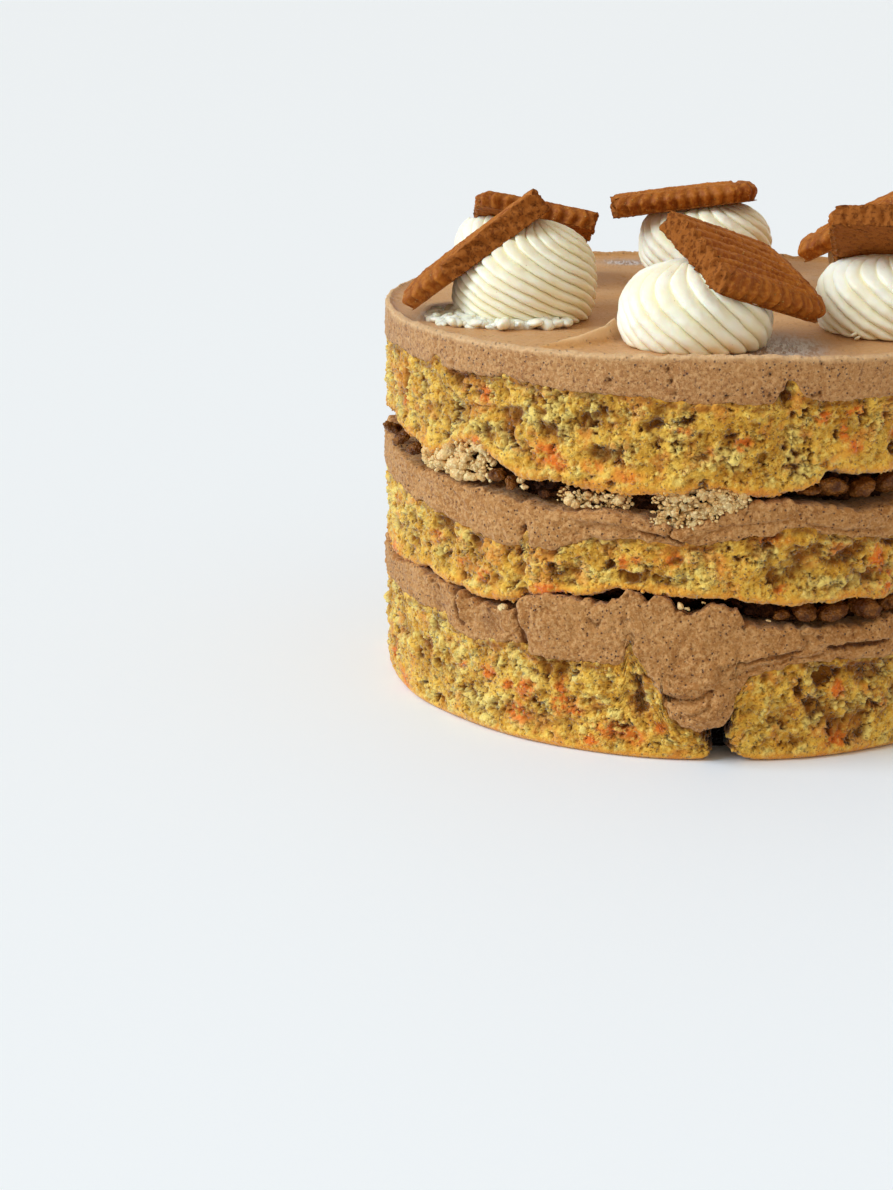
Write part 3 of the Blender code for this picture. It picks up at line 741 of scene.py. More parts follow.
def make_sponge(name, low, high, levels, dents, carrot, baked, seed, crack=False):
    angles = round_angles(SIDE_COLUMNS)
    foot, crest = low(angles), high(angles)
    radius = CAKE_RADIUS - SPONGE_INSET + ragged(angles, 0.35, 9, seed)
    rings = grid_points(angles, layer_rows(foot, crest, radius, levels, (1.5, 1.3), 0.42))
    heights = rings[:, :, 2]
    around = np.broadcast_to(angles, heights.shape)
    depth = spots_on(around, heights, dents)
    # Painted shade, kept as sunk: each dent is darkened by its depth.
    shade = np.clip(depth / 9.0, 0, 0.9)
    outer = np.clip((np.hypot(rings[:, :, 0], rings[:, :, 1]) - 66) / 6, 0, 1)
    if crack:
        inside = crack_at(around, heights)
        depth = depth + inside * CRACK_DEPTH * np.clip((CRACK_TOP - heights) / 4, 0, 1)
        # Painted shade: the inside of the crack is painted almost black.
        shade = shade + 2.0 * inside
        lifted = np.exp(-((around - CRACK_ANGLE) / 4.0) ** 2) * np.clip((2.0 - heights) / 2, 0, 1)
        rings[:, :, 2] += 0.7 * lifted * outer
    press_in(rings, around, depth * outer)
    rings[:, :, 2] = np.maximum(rings[:, :, 2], 0.0)
    made = closed_grid(name, rings)
    mark(made, "sunk", shade)
    low_crust = 0.95 * np.exp(-((heights - foot) / 2.4) ** 2)
    high_crust = 0.6 * np.exp(-((heights - crest) / 1.3) ** 2)
    mark(made, "crust", np.maximum(np.maximum(low_crust, high_crust), spots_on(around, heights, baked)))
    # A dark line just under the cream: partly toasted crust, partly painted shadow of the cream's edge.
    mark(made, "seam", np.exp(-((heights - crest + TUCK + 0.6) / 0.6) ** 2))
    stands_on_floor = levels[0] == 0
    mark(made, "side", outer * np.clip((heights - 0.5) / 2.0, 0, 1) if stands_on_floor else outer)
    wider = [(angle, height, 1.3 * wide, 1.25 * tall, share) for angle, height, wide, tall, share in carrot]
    mark(made, "carrot", np.minimum(1.1 * spots_on(around, heights, wider), 1))
    run_tree(made, CRUMB_RELIEF, seed=float(seed), finish=SPONGE)
    return made


print("columns round the cake:", SIDE_COLUMNS)

# %% Bottom sponge: angle, height, half width, half height and depth, over 0 for a dent and under 0 for a lump
BOTTOM_DENTS = (
    (-22, 18.5, 2.0, 2.6, 2.2), (-8, 14, 2.6, 3.0, 1.6), (22, 18.5, 1.6, 1.4, 2.2), (15, 10, 3.0, 2.4, 1.4),
    (-33, 17, 4.0, 2.0, 1.0), (12, 12.5, 2.6, 2.4, -0.6), (11, 5, 2.6, 2.4, -0.5), (-2, 5, 3.0, 2.6, -0.5),
    (30, 8, 2.4, 3.0, 1.2), (-50, 9, 3.0, 3.5, 0.9), (60, 10, 3.0, 2.6, 1.6), (110, 13, 3.0, 3.0, 1.4),
    (170, 8, 2.6, 3.4, 1.6), (215, 14, 3.4, 2.0, 1.5), (250, 7, 2.6, 2.6, 1.3),
)
BOTTOM_CARROT = carrot_spots((
    (-55, 16, 2.0, 1.3, 0.7), (-44, 14, 1.4, 1.2, 0.7), (-37, 14, 1.8, 1.5, 1.0),
    (-33, 12.4, 1.4, 1.2, 0.9), (-29, 12.4, 2.4, 2.2, 1.0), (-22.4, 12, 1.6, 3.4, 1.0),
    (-31, 6.4, 2.6, 2.2, 0.9), (-12, 6, 5.0, 1.8, 0.8), (-64, 2.6, 2.6, 1.6, 0.9), (-72, 7, 2.0, 2.2, 0.7),
    (-17, 3, 2.0, 1.3, 0.9), (25, 15.5, 1.6, 1.8, 1.0), (25, 4.4, 2.2, 2.0, 1.0), (-5, 7.4, 1.6, 1.4, 0.7),
    (-9, 4.8, 1.6, 1.6, 0.9), (-20, 8.6, 1.8, 1.5, 0.8), (33, 11, 1.8, 1.4, 0.8),
), 3, 18)
BOTTOM_BAKED = ((9, 17.6, 4.0, 1.8, 0.9), (7.4, 5, 1.2, 4, 0.9), (-16, 2, 6, 2, 0.7), (-66, 4, 5, 3, 0.8))
sponge_bottom = make_sponge(
    "bottom_sponge", lambda a: 0 * a, lambda a: edge(LOWER_CREAM_LOW, a) + TUCK, (0.0, 21.5),
    BOTTOM_DENTS, BOTTOM_CARROT, BOTTOM_BAKED, 3, crack=True)
settle(sponge_bottom, "sponge", "sponge_bottom")

# %% Middle sponge
MIDDLE_DENTS = (
    (16, 42.5, 5.6, 2.8, 1.9), (-4.5, 40.6, 3.4, 1.5, 2.2), (-10.5, 40.9, 2.2, 1.1, 1.8),
    (29, 40, 3.0, 2.4, 1.4), (17.5, 49.6, 2.0, 1.5, -0.9), (5, 44, 5.0, 3.2, -0.5),
    (-20, 42, 2.4, 2.2, 1.2), (-31, 40, 3.0, 1.6, 1.0), (33, 41, 2.2, 3.6, -0.7), (55, 42, 3.2, 2.6, 1.5),
    (95, 41, 3.0, 2.0, 1.6), (150, 43, 3.6, 2.2, 1.5), (200, 41, 2.8, 2.8, 1.4), (245, 42, 3.0, 2.2, 1.3),
)
MIDDLE_CARROT = carrot_spots((
    (-50.6, 42, 2.2, 1.5, 0.7), (-38.5, 36.4, 2.4, 1.6, 0.9), (-25.3, 36, 3.0, 1.4, 1.0),
    (-12, 44, 1.8, 1.5, 0.7), (-69, 33.4, 2.0, 1.8, 0.8), (-3.4, 45.6, 1.5, 1.2, 0.9),
    (-0.8, 45, 1.0, 0.8, 0.8), (12, 50, 3.2, 1.1, 0.7), (31.6, 44, 2.4, 2.6, 1.0),
    (33.5, 39, 1.8, 2.4, 1.0), (-9.6, 45, 1.4, 1.2, 0.6), (14.3, 39.2, 1.4, 1.0, 0.7),
    (24, 47, 2.8, 1.8, 0.6), (-44, 38, 1.6, 1.1, 0.6),
), 37, 47)
MIDDLE_BAKED = ((5, 43.6, 6.4, 4.0, 0.75), (13, 50, 5, 1.4, 0.9), (-70, 36, 4, 3, 0.8), (31, 45, 3, 3, 0.5))
sponge_middle = make_sponge(
    "middle_sponge", lambda a: edge(MIDDLE_SPONGE_LOW, a), lambda a: edge(UPPER_CREAM_LOW, a) + TUCK,
    (36.0, 48.9), MIDDLE_DENTS, MIDDLE_CARROT, MIDDLE_BAKED, 5)
settle(sponge_middle, "sponge", "sponge_middle")

# %% Top sponge
TOP_DENTS = (
    (-6.2, 75, 2.3, 0.9, 3.4), (10.4, 68.4, 1.2, 0.8, 1.8), (13.6, 82.2, 1.5, 2.3, 4.5),
    (-18, 74.6, 4.2, 2.0, 1.5), (-28.6, 79, 1.1, 1.2, 2.0), (-34, 78.4, 1.0, 1.0, 1.8),
    (15, 72, 3.0, 3.2, 1.0), (2, 76.6, 5.0, 2.0, -0.5), (25, 68.6, 4.4, 2.8, -0.7),
    (-13, 69, 3.4, 2.4, -0.4), (-45, 74, 3.0, 4.0, 0.9), (5.3, 65.6, 2.6, 1.4, 1.4),
    (60, 72, 3.0, 3.4, 1.5), (105, 75, 3.6, 2.2, 1.6), (155, 70, 3.0, 3.2, 1.4), (205, 74, 3.4, 2.0, 1.6),
    (240, 70, 2.8, 2.6, 1.3),
)
TOP_CARROT = carrot_spots((
    (-38.6, 77.6, 1.8, 1.7, 1.0), (-40, 66.8, 1.4, 1.1, 0.8), (-25.6, 66.6, 3.2, 2.4, 0.9),
    (-24, 64.4, 2.4, 1.6, 0.9), (-17, 65, 2.8, 1.3, 0.6), (-63, 71, 1.8, 1.6, 0.7),
    (-2.6, 73.6, 1.9, 1.6, 0.7), (7.2, 71.2, 1.5, 1.3, 1.0), (20.4, 76.5, 1.6, 1.6, 0.9),
    (26, 77.4, 1.9, 1.2, 0.8), (24.2, 73, 1.2, 2.0, 0.8), (26, 69.8, 1.4, 1.1, 1.0),
    (1.6, 69.4, 1.6, 1.4, 0.5), (-33, 72, 2.6, 1.8, 0.45), (-11, 63.4, 2.6, 1.2, 0.5),
    (34, 71, 1.8, 1.6, 0.8),
), 66, 78)
TOP_BAKED = (
    (2, 78.6, 7, 1.4, 0.9), (24, 68.6, 5, 3, 0.8), (-12, 63, 8, 2, 0.9), (-76, 79, 4, 3, 0.8),
    (-24, 67, 4, 3, 0.6),
)
sponge_top = make_sponge(
    "top_sponge", lambda a: edge(TOP_SPONGE_LOW, a), lambda a: edge(FROSTING_LOW, a) + TUCK, (62.0, 80.1),
    TOP_DENTS, TOP_CARROT, TOP_BAKED, 8)
settle(sponge_top, "sponge", "sponge_top")

# %% [markdown]
# ## The buttercream fillings
# Whipped buttercream keeps the marks of what touched it. Its face is nearly smooth, pricked with air holes,
# and its edges are ragged where it was squeezed out and scraped. Folds and slits are lines pressed into the
# grid. The lower filling has run down at the front into a drip with a folded lip.

# %% Tree: cream relief
def cream_relief_tree():
    tree, entry, leave = new_tree("cream_relief", (
        ("Swell", "Float", 0.5), ("Hole Depth", "Float", 0.5), ("Drag", "Float", 0.25),
        ("Tear", "Float", 1.9), ("Finish", "Material", None),
    ))
    where, normal = place_in(tree), normal_in(tree)
    swell = noise(where, 6.5, 2.0) - 0.5
    grain = noise(where, 1.3, 3.0, 0.6) - 0.5
    holes = ramp(lumps(where, 3.1), 0.26, 0.08) * ramp(noise(where, 6.0, 1.0), 0.5, 0.62)
    dragged = noise(vector_math("MULTIPLY", where, (0.22, 0.22, 1.5)), 1.6, 2.0) - 0.5
    height = (swell * entry["Swell"] * 2.0 + grain * 0.6 + dragged * entry["Drag"] * 2.0
              - holes * entry["Hole Depth"])
    shown = marked(tree, "side")
    tear = vector_math("SCALE", jitter(where, 2.4, 4.0, 0.6), scale=shown * entry["Tear"] * MM)
    offset = vector_math("ADD", vector_math("SCALE", normal, scale=height * shown * MM), tear)
    # Painted shade: air holes and the marked creases, for the finish to darken.
    kept = keep_value(tree, entry["Geometry"], "painted_pit_shade", holes * 0.9 + marked(tree, "cut"))
    end_tree(tree, leave, shift(tree, kept, offset), entry["Finish"])
    return tree


CREAM_RELIEF = cream_relief_tree()
print(CREAM_RELIEF.name, len(CREAM_RELIEF.nodes), "nodes")

# %% Build a cream layer
CREAM_INSET = 0.15


def make_cream(name, low, high, levels, lines, bulges, seed):
    angles = round_angles(SIDE_COLUMNS)
    foot = edge(low, angles) + ragged(angles, 0.22, 90, seed)
    crest = edge(high, angles) + ragged(angles, 0.4, 100, seed + 1)
    radius = CAKE_RADIUS - CREAM_INSET + ragged(angles, 0.3, 24, seed + 3)
    rings = grid_points(angles, layer_rows(foot, crest, radius, levels, (1.0, 0.9), 0.34))
    heights = rings[:, :, 2]
    around = np.broadcast_to(angles, heights.shape)
    outer = np.clip((np.hypot(rings[:, :, 0], rings[:, :, 1]) - 68) / 5, 0, 1)
    depth = (lines_on(around, heights, lines) - spots_on(around, heights, bulges)) * outer
    press_in(rings, around, depth)
    made = closed_grid(name, rings)
    mark(made, "side", outer)
    # Painted shade in the pressed-in grooves.
    mark(made, "cut", np.clip(depth / 1.4, 0, 1))
    run_tree(made, CREAM_RELIEF, finish=BUTTERCREAM)
    return made


LOWER_LINES = (  # points along each line, half width in mm, depth in mm; a ridge has a depth below 0
    (((-31.4, 33), (-31.2, 29), (-29.8, 25), (-29.4, 22)), 0.8, 1.8),
    (((-30.0, 32), (-29.6, 27)), 1.2, -0.8), (((-45.4, 31), (-45, 27), (-43.6, 24)), 0.8, 2.0),
    (((-43.8, 30), (-43.0, 26)), 1.2, -0.9), (((-17.4, 31), (-16, 29.4), (-15.6, 31)), 0.4, 0.9),
    (((-10.4, 26), (-9.6, 27.6)), 0.5, 1.0),
    (((-4.4, 14.8), (-2.0, 14.2), (0.6, 14.6), (3.4, 16.6)), 0.6, 2.2),
    (((3.4, 16.0), (2.8, 13.4), (0.7, 11.6), (-1.4, 10.9)), 0.5, 1.3),
    (((-5.6, 17.4), (-1.6, 16.6), (2.8, 18.8)), 0.9, -0.9), (((-3.6, 19.4), (0.6, 19.0)), 0.5, 0.7),
    (((4.6, 21.4), (8, 23), (13, 24), (18, 25)), 0.45, 0.9),
    (((6, 19.6), (11, 22), (17, 23.4), (22, 24)), 0.45, 0.7),
    (((5, 22.6), (10, 24.4), (16, 25.8)), 0.8, -0.5), (((23, 25.4), (27, 25.2), (34, 25.4)), 0.5, 1.6),
    (((20, 26.6), (28, 26.8), (35, 26.8)), 1.0, -0.6), (((18.4, 25.4), (19.4, 27.4), (17.8, 29)), 0.5, 0.6),
    (((-3, 22), (-2.2, 26), (-1, 28.4)), 0.5, 0.45), (((4.4, 22.2), (4.2, 18.6)), 0.5, 0.6),
    (((70, 26), (82, 25)), 0.5, 1.0), (((120, 28), (131, 26)), 0.6, 1.0),
    (((146, 22), (150, 18)), 0.6, 1.1), (((190, 27), (203, 28)), 0.5, 0.9),
    (((226, 27), (238, 26)), 0.5, 1.0),
)
LOWER_BULGES = (
    (1.8, 11.8, 6.4, 4.6, 3.0), (-2.6, 16.2, 3.6, 1.5, 1.6), (2.4, 21, 6.4, 3.4, 1.2), (-7, 27, 8, 5, 0.3),
    (-27, 28, 5.0, 5.0, 0.8), (-37, 26, 5.0, 5.0, -0.7), (-51, 27, 6.0, 5.0, -0.6),
    (14, 22.4, 6.0, 1.6, 0.4), (28, 23.4, 5.0, 1.4, 0.4), (150, 20, 4.0, 4.0, 0.7),
)
cream_lower = make_cream(
    "lower_buttercream", LOWER_CREAM_LOW, LOWER_CREAM_HIGH, (21.8, 30.0), LOWER_LINES, LOWER_BULGES, 40)
settle(cream_lower, "spiced_buttercream", "cream_lower")

UPPER_LINES = (
    (((-29.2, 45), (-29.0, 47.6), (-29.6, 49.6)), 0.7, 2.2), (((-27.6, 46), (-27.4, 50)), 1.4, -0.8),
    (((-19, 51.6), (-15, 52.2), (-10, 51.4)), 0.8, 0.6),
    (((-20, 53.2), (-15, 53.8), (-9, 53.0), (-5, 51.8), (-2, 50.2)), 0.9, -0.8),
    (((-17, 50.2), (-11, 50.4), (-7, 49.8)), 0.8, -0.6), (((-9, 51.8), (-5, 50.4)), 0.5, 0.8),
    (((-3.4, 53.4), (-4.6, 51.2), (-1.4, 49.6)), 0.5, 0.9), (((2, 52.2), (8, 53.6), (15, 54.6)), 0.5, 0.5),
    (((-47, 55.8), (-46, 53)), 0.5, 0.5), (((18, 53.4), (24, 51.8), (32, 50.8)), 0.5, 0.6),
    (((64, 52), (76, 53.6)), 0.5, 0.9), (((118, 52), (128, 51)), 0.5, 0.9),
    (((180, 53), (192, 52)), 0.5, 0.9), (((222, 53), (236, 54)), 0.5, 0.8),
)
UPPER_BULGES = (
    (-25, 48.6, 4.0, 3.0, 0.5), (-34, 48.6, 5.0, 3.0, 0.4), (14, 56.6, 5.0, 1.8, 0.3), (-12, 51, 5.0, 1.6, 0.3),
)
cream_upper = make_cream(
    "upper_buttercream", UPPER_CREAM_LOW, UPPER_CREAM_HIGH, (49.2, 56.4), UPPER_LINES, UPPER_BULGES, 50)
settle(cream_upper, "spiced_buttercream", "cream_upper")

# %% [markdown]
# ## The frosted top
# The same buttercream, levelled with a palette knife. The knife leaves shallow arcs, lifts a thin ragged rim
# at the edge, and has peeled up one curl at the front; the crests of both get a painted highlight, and the
# curl's front foot painted shade. Where the surface was touched it dried into small shiny wrinkles, whose
# shine is a painted grey sheen with pale glints. The side is cut clean by the cake ring, so it shows air holes
# but hardly any smears.

# %% Frosting
FROSTING_COLUMNS, FROSTING_INSET = 820, 0.25
FROSTING_FLOOR, FROSTING_LEVEL = 80.4, 88.7
CURL_LINE, CURL_TALL = ((-19.0, -47.0), (-21.4, -54.0), (-26.5, -60.0), (-35.0, -64.0)), 4.4
# Patches of wrinkles, which the finish paints with a grey sheen and pale glints.
WRINKLES = (  # middle, half width and half depth of each patch
    (18.0, -57.0, 8.0, 14.0), (-57.0, -25.0, 7.0, 9.0), (62.0, -20.0, 6.0, 6.0), (-20.0, 60.0, 7.0, 5.0),
)
SLITS = (
    (((-1, 85.6), (-0.6, 83.4)), 0.35, 0.7), (((26.6, 88), (26.4, 86), (25.8, 84)), 0.3, 0.8),
    (((-21, 85.4), (-20.6, 83.2)), 0.35, 0.7), (((-8, 87), (-6.6, 86.4)), 0.3, 0.6),
    (((4, 86.4), (4.4, 85)), 0.3, 0.7),
)


def curl_rise(x, y):
    """A thin wall of cream that rises along the curl's line and hangs over a little on one side."""
    path = CURL_LINE
    rise = np.zeros(x.shape)
    lengths = [0.0]
    for (x0, y0), (x1, y1) in zip(path, path[1:]):
        lengths.append(lengths[-1] + math.hypot(x1 - x0, y1 - y0))
    for i, ((x0, y0), (x1, y1)) in enumerate(zip(path, path[1:])):
        run = np.array((x1 - x0, y1 - y0))
        share = np.clip(((x - x0) * run[0] + (y - y0) * run[1]) / (run @ run), 0, 1)
        off = ((x - x0) * run[1] - (y - y0) * run[0]) / np.hypot(*run)
        end = np.hypot(x - x0 - share * run[0], y - y0 - share * run[1])
        along = (lengths[i] + share * (lengths[i + 1] - lengths[i])) / lengths[-1]
        wide = np.where(off > 0, 0.75, 1.3)
        crest = CURL_TALL * (1 - along) ** 0.8 * np.minimum(1, along * 14 + 0.5)
        rise = np.maximum(rise, crest * np.exp(-(end / wide) ** 2))
    return rise


def make_frosting():
    angles = round_angles(FROSTING_COLUMNS)
    foot = edge(FROSTING_LOW, angles) + ragged(angles, 0.2, 130, 61)
    crest = edge(FROSTING_HIGH, angles) + ragged(angles, 0.08, 90, 62) + ragged(angles, 0.12, 300, 63)
    radius = CAKE_RADIUS - FROSTING_INSET + ragged(angles, 0.2, 12, 64)
    under = (30, 18, 12, 9, 7, 5.4, 4, 3, 2.2)
    close_in = (3.4, 2.9, 2.4, 2.0, 1.6, 1.2, 0.9)
    over = np.concatenate((np.arange(74.0, 29.0, -1.5), np.arange(29.0, 4.0, -0.62), close_in))
    rings = grid_points(angles, layer_rows(
        foot, crest, radius, (FROSTING_FLOOR, FROSTING_LEVEL), (0.9, 0.35), 0.42, (under, over[::-1])))
    x, y, heights = rings[:, :, 0], rings[:, :, 1], rings[:, :, 2]
    reach = np.hypot(x, y)
    top = np.zeros(heights.shape)
    top[len(rings) - len(over):] = 1.0
    flat = FROSTING_LEVEL + (crest - FROSTING_LEVEL) * np.clip((reach - 70.5) / 4.6, 0, 1) ** 2
    arcs = 0.10 * np.sin(np.hypot(x - 30, y + 130) / 2.3) + 0.08 * np.sin(np.hypot(x + 90, y - 20) / 3.7 + 1)
    arcs += 0.16 * np.sin(np.hypot(x - 12, y + 20) / 8.5 + 0.6)
    rim = 0.5 * np.exp(-((reach - radius + 0.9) / 0.8) ** 2) * (1 + ragged(angles, 0.4, 60, 65))
    curl = curl_rise(x, y)
    knifed = flat + arcs * np.clip((74.5 - reach) / 3, 0, 1) + rim + curl
    rings[:, :, 2] = np.where(top > 0, knifed, heights)
    made = closed_grid("frosting", rings)
    mark(made, "side", np.where(top > 0, 0.22, np.clip((reach - 68) / 5, 0, 1)))
    depth = lines_on(np.broadcast_to(angles, heights.shape), heights, SLITS) * (1 - top)
    # Painted shade: the slits are only painted, and shade is painted in front of the curl's foot.
    depth += 0.8 * top * np.clip(curl_rise(x + 0.5, y + 1.6) / 2.5 - curl / 1.6, 0, 1)
    mark(made, "cut", depth)
    mark(made, "smoothed", top * np.clip((75.2 - reach) / 1.5, 0, 1), (0, 1))
    # Painted highlight along the crest of the curl and along the rim, stored for the finish.
    painted_crest_highlight = np.clip(curl / 1.8, 0, 1) ** 2 + 0.7 * np.exp(-((reach - radius + 0.7) / 0.7) ** 2)
    painted_crest_highlight = np.where(top > 0, painted_crest_highlight, 0.7 * np.exp(-((heights - crest) / 0.7) ** 2))
    mark(made, "painted_crest_highlight", np.clip(painted_crest_highlight, 0, 0.8))
    # Wrinkled patches, with painted sheen and glints in the finish.
    patches = np.zeros(heights.shape)
    for px, py, wide, deep in WRINKLES:
        patches = np.maximum(patches, np.exp(-(((x - px) / wide) ** 2 + ((y - py) / deep) ** 2) ** 1.6))
    mark(made, "wrinkles_and_painted_sheen", patches * top)
    run_tree(made, CREAM_RELIEF, swell=0.35, hole_depth=1.2, drag=0.12, tear=0.9, finish=FROSTING)
    return made


frosting = make_frosting()
settle(frosting, "spiced_buttercream", "frosting_top")

# %% [markdown]
# ## Crumb in the fillings
# Broken biscuit and soaked fruit lie on each filling and show in the gap under the next sponge. Each filling
# has a deep dark bed of it, a ring with a strong crumb relief. On the bed lie the pieces that can be told
# apart: a heap of pale crumb at the front, sticky brown dates at the left. They are rough lumps from one
# small tree, which works on as many points as it is given.

# %% The dark bed
BED_COLUMNS, BED_RADIUS, BED_GAP = 560, 69.6, 0.2


def make_bed(name, low, high, levels, seed):
    angles = round_angles(BED_COLUMNS)
    floor, roof = edge(low, angles) + BED_GAP, edge(high, angles) - BED_GAP
    middle = (floor + roof) / 2
    floor, roof = np.minimum(floor, middle - 0.4), np.maximum(roof, middle + 0.4)
    radius = BED_RADIUS + ragged(angles, 0.5, 30, seed)
    shelves = ((12, 6, 3, 1.5), (1.5, 3, 6, 12))
    rings = grid_points(angles, layer_rows(floor, roof, radius, levels, (0.3, 0.3), 0.6, shelves))
    made = closed_grid(name, rings)
    reach = np.hypot(rings[:, :, 0], rings[:, :, 1])
    mark(made, "side", np.clip((reach - 60) / 6, 0, 1))
    run_tree(made, CRUMB_RELIEF, coarse_depth=2.2, fine_depth=1.1, pore_depth=2.5, seed=float(seed),
             finish=BROWN_CRUMB)
    return made


bed_upper = make_bed("upper_crumb_bed", UPPER_CREAM_HIGH, TOP_SPONGE_LOW, (56.7, 61.7), 12)
settle(bed_upper, "crumb", "crumb_upper")
bed_lower = make_bed("lower_crumb_bed", LOWER_CREAM_HIGH, MIDDLE_SPONGE_LOW, (30.3, 35.7), 13)
settle(bed_lower, "crumb", "crumb_lower")

# %% Tree: rough lumps on points
def lump_tree():
    """Each point becomes a rough lump, as large as the number stored on it."""
    tree, entry, leave = new_tree("rough_lumps", (
        ("Roughness Depth", "Float", 0.35), ("Grain", "Float", 1.2), ("Flatness", "Float", 0.75),
        ("Rings", "Int", 3), ("Seed", "Int", 4), ("Finish", "Material", None),
    ))
    ball = add_node(tree, "GeometryNodeMeshIcoSphere", {"Radius": MM, "Subdivisions": entry["Rings"]})
    turn = add_node(tree, "FunctionNodeRandomValue", {"Seed": entry["Seed"]}, data_type="FLOAT_VECTOR")
    turn.inputs[0].default_value = (-0.5, -0.5, 0.0)
    turn.inputs[1].default_value = (0.5, 0.5, 6.28)
    shape = add_node(tree, "FunctionNodeRandomValue", {"Seed": entry["Seed"] + 9.0}, data_type="FLOAT_VECTOR")
    shape.inputs[0].default_value = (0.75, 0.6, 0.6)
    shape.inputs[1].default_value = (1.3, 1.1, 1.0)
    spread = vector_math("SCALE", Field(shape.outputs[0]), scale=marked(tree, "wide"))
    placed = add_node(tree, "GeometryNodeInstanceOnPoints", {
        "Points": entry["Geometry"], "Instance": Field(ball.outputs["Mesh"]),
        "Rotation": Field(turn.outputs[0]),
        "Scale": vector_math("MULTIPLY", spread, vector(1.0, 1.0, entry["Flatness"])),
    })
    real = add_node(tree, "GeometryNodeRealizeInstances", {"Geometry": Field(placed.outputs[0])})
    where = place_in(tree)
    push = jitter(where, 1.9, 4.0, 0.65)
    dent = lumps(where, 1.1) * entry["Roughness Depth"] * entry["Grain"] * -MM
    grain = vector_math("SCALE", normal_in(tree), scale=dent)
    offset = vector_math("ADD", vector_math("SCALE", push, scale=entry["Roughness Depth"] * 3.6 * MM), grain)
    end_tree(tree, leave, shift(tree, Field(real.outputs[0]), offset), entry["Finish"], smooth=True)
    return tree


ROUGH_LUMPS = lump_tree()


def make_lumps(name, spots, finish, slot, rings=3, roughness=0.35, flatness=0.75):
    """A joined piece of lumps: angle, height, distance in from the rim, and size of each, in mm."""
    spots = np.array(spots, float)
    turn, reach = np.radians(spots[:, 0]), CAKE_RADIUS - spots[:, 2]
    made = piece_from(name, np.stack((reach * np.sin(turn), -reach * np.cos(turn), spots[:, 1]), 1), [])
    mark(made, "wide", spots[:, 3], ())
    run_tree(made, ROUGH_LUMPS, roughness_depth=roughness, flatness=flatness, rings=rings, finish=finish)
    settle(made, slot)


print(ROUGH_LUMPS.name, len(ROUGH_LUMPS.nodes), "nodes")

# %% Lumps that can be told apart
def heap(seed, count, angles, heights, insets, sizes):
    """Spots scattered evenly between the given limits."""
    pick = np.random.default_rng(seed)
    return [tuple(pick.uniform(*limits) for limits in (angles, heights, insets, sizes)) for _ in range(count)]


def filling(seed, count, angles, shares, insets, sizes):
    """Spots in the upper filling, at a share of the way from the cream below to the sponge above."""
    spots = np.array(heap(seed, count, angles, shares, insets, sizes))
    floor, roof = edge(UPPER_CREAM_HIGH, spots[:, 0]), edge(TOP_SPONGE_LOW, spots[:, 0])
    spots[:, 1] = floor + (roof - floor) * spots[:, 1]
    return [tuple(spot) for spot in spots]


pale = filling(1, 190, (-6.5, 8.0), (0.0, 0.95), (0.9, 3.2), (0.7, 1.5))
pale += heap(2, 26, (-22, -12), (55.6, 58.2), (2.0, 5.0), (0.8, 1.7))
pale += filling(17, 90, (-55, -37), (0.2, 1.0), (0.5, 2.8), (0.8, 2.2))
pale += [
    (-31.4, 59.4, 2.4, 1.4), (-30.6, 58, 2.4, 1.1), (18.6, 60.2, 2.0, 1.1), (-2.2, 35.4, 1.0, 1.1),
    (-1.0, 34.8, 0.8, 0.9), (1.6, 36.2, 1.2, 0.7), (12.4, 32, 1.6, 0.7), (-34.4, 29.8, 1.4, 1.6),
]
make_lumps("pale_crumb", pale, PALE_CRUMB, "crumb", roughness=0.34, flatness=0.9)

pale_fine = filling(14, 260, (-7.5, 8.5), (-0.1, 1.05), (0.0, 1.8), (0.25, 0.6))
pale_fine += filling(15, 160, (-55, -36.5), (0.2, 1.05), (-0.2, 1.4), (0.3, 0.8))
pale_fine += heap(16, 130, (-24, -11), (55.4, 59.0), (1.4, 5.0), (0.3, 0.7))
make_lumps("pale_crumb_fine", pale_fine, PALE_CRUMB, "crumb", rings=2, roughness=0.18, flatness=1.0)

pale_back = heap(3, 60, (45, 270), (57.0, 60.5), (2.0, 5.0), (0.7, 1.8))
pale_back += heap(4, 40, (45, 270), (33.0, 35.0), (2.0, 5.0), (0.6, 1.5))
make_lumps("pale_crumb_back", pale_back, PALE_CRUMB, "crumb", roughness=0.5)

dates = [
    (-72, 61.4, 0.9, 3.6), (-66.4, 61, 1.4, 2.6), (-59, 60.2, 1.0, 3.0), (-35.6, 60, 1.0, 2.9),
    (-33, 58.6, 1.6, 2.0), (19, 60.4, 3.6, 2.8), (23, 60.6, 3.2, 3.8), (28.6, 60, 3.2, 4.2),
    (34.4, 60.4, 3.4, 3.8), (15, 32.8, 3.0, 2.6), (19, 33.4, 2.8, 3.6), (24, 33.0, 2.6, 4.4),
    (30, 33.2, 2.8, 4.2), (35.6, 33.2, 3.0, 3.8), (-23, 57.6, 3.4, 2.4), (-13, 57.4, 3.6, 2.2),
]
dates += heap(5, 22, (45, 270), (57.5, 60), (3.0, 5.0), (1.4, 2.4))
make_lumps("dates", dates, SOAKED_CRUMB, "crumb", rings=4, roughness=0.42, flatness=0.66)

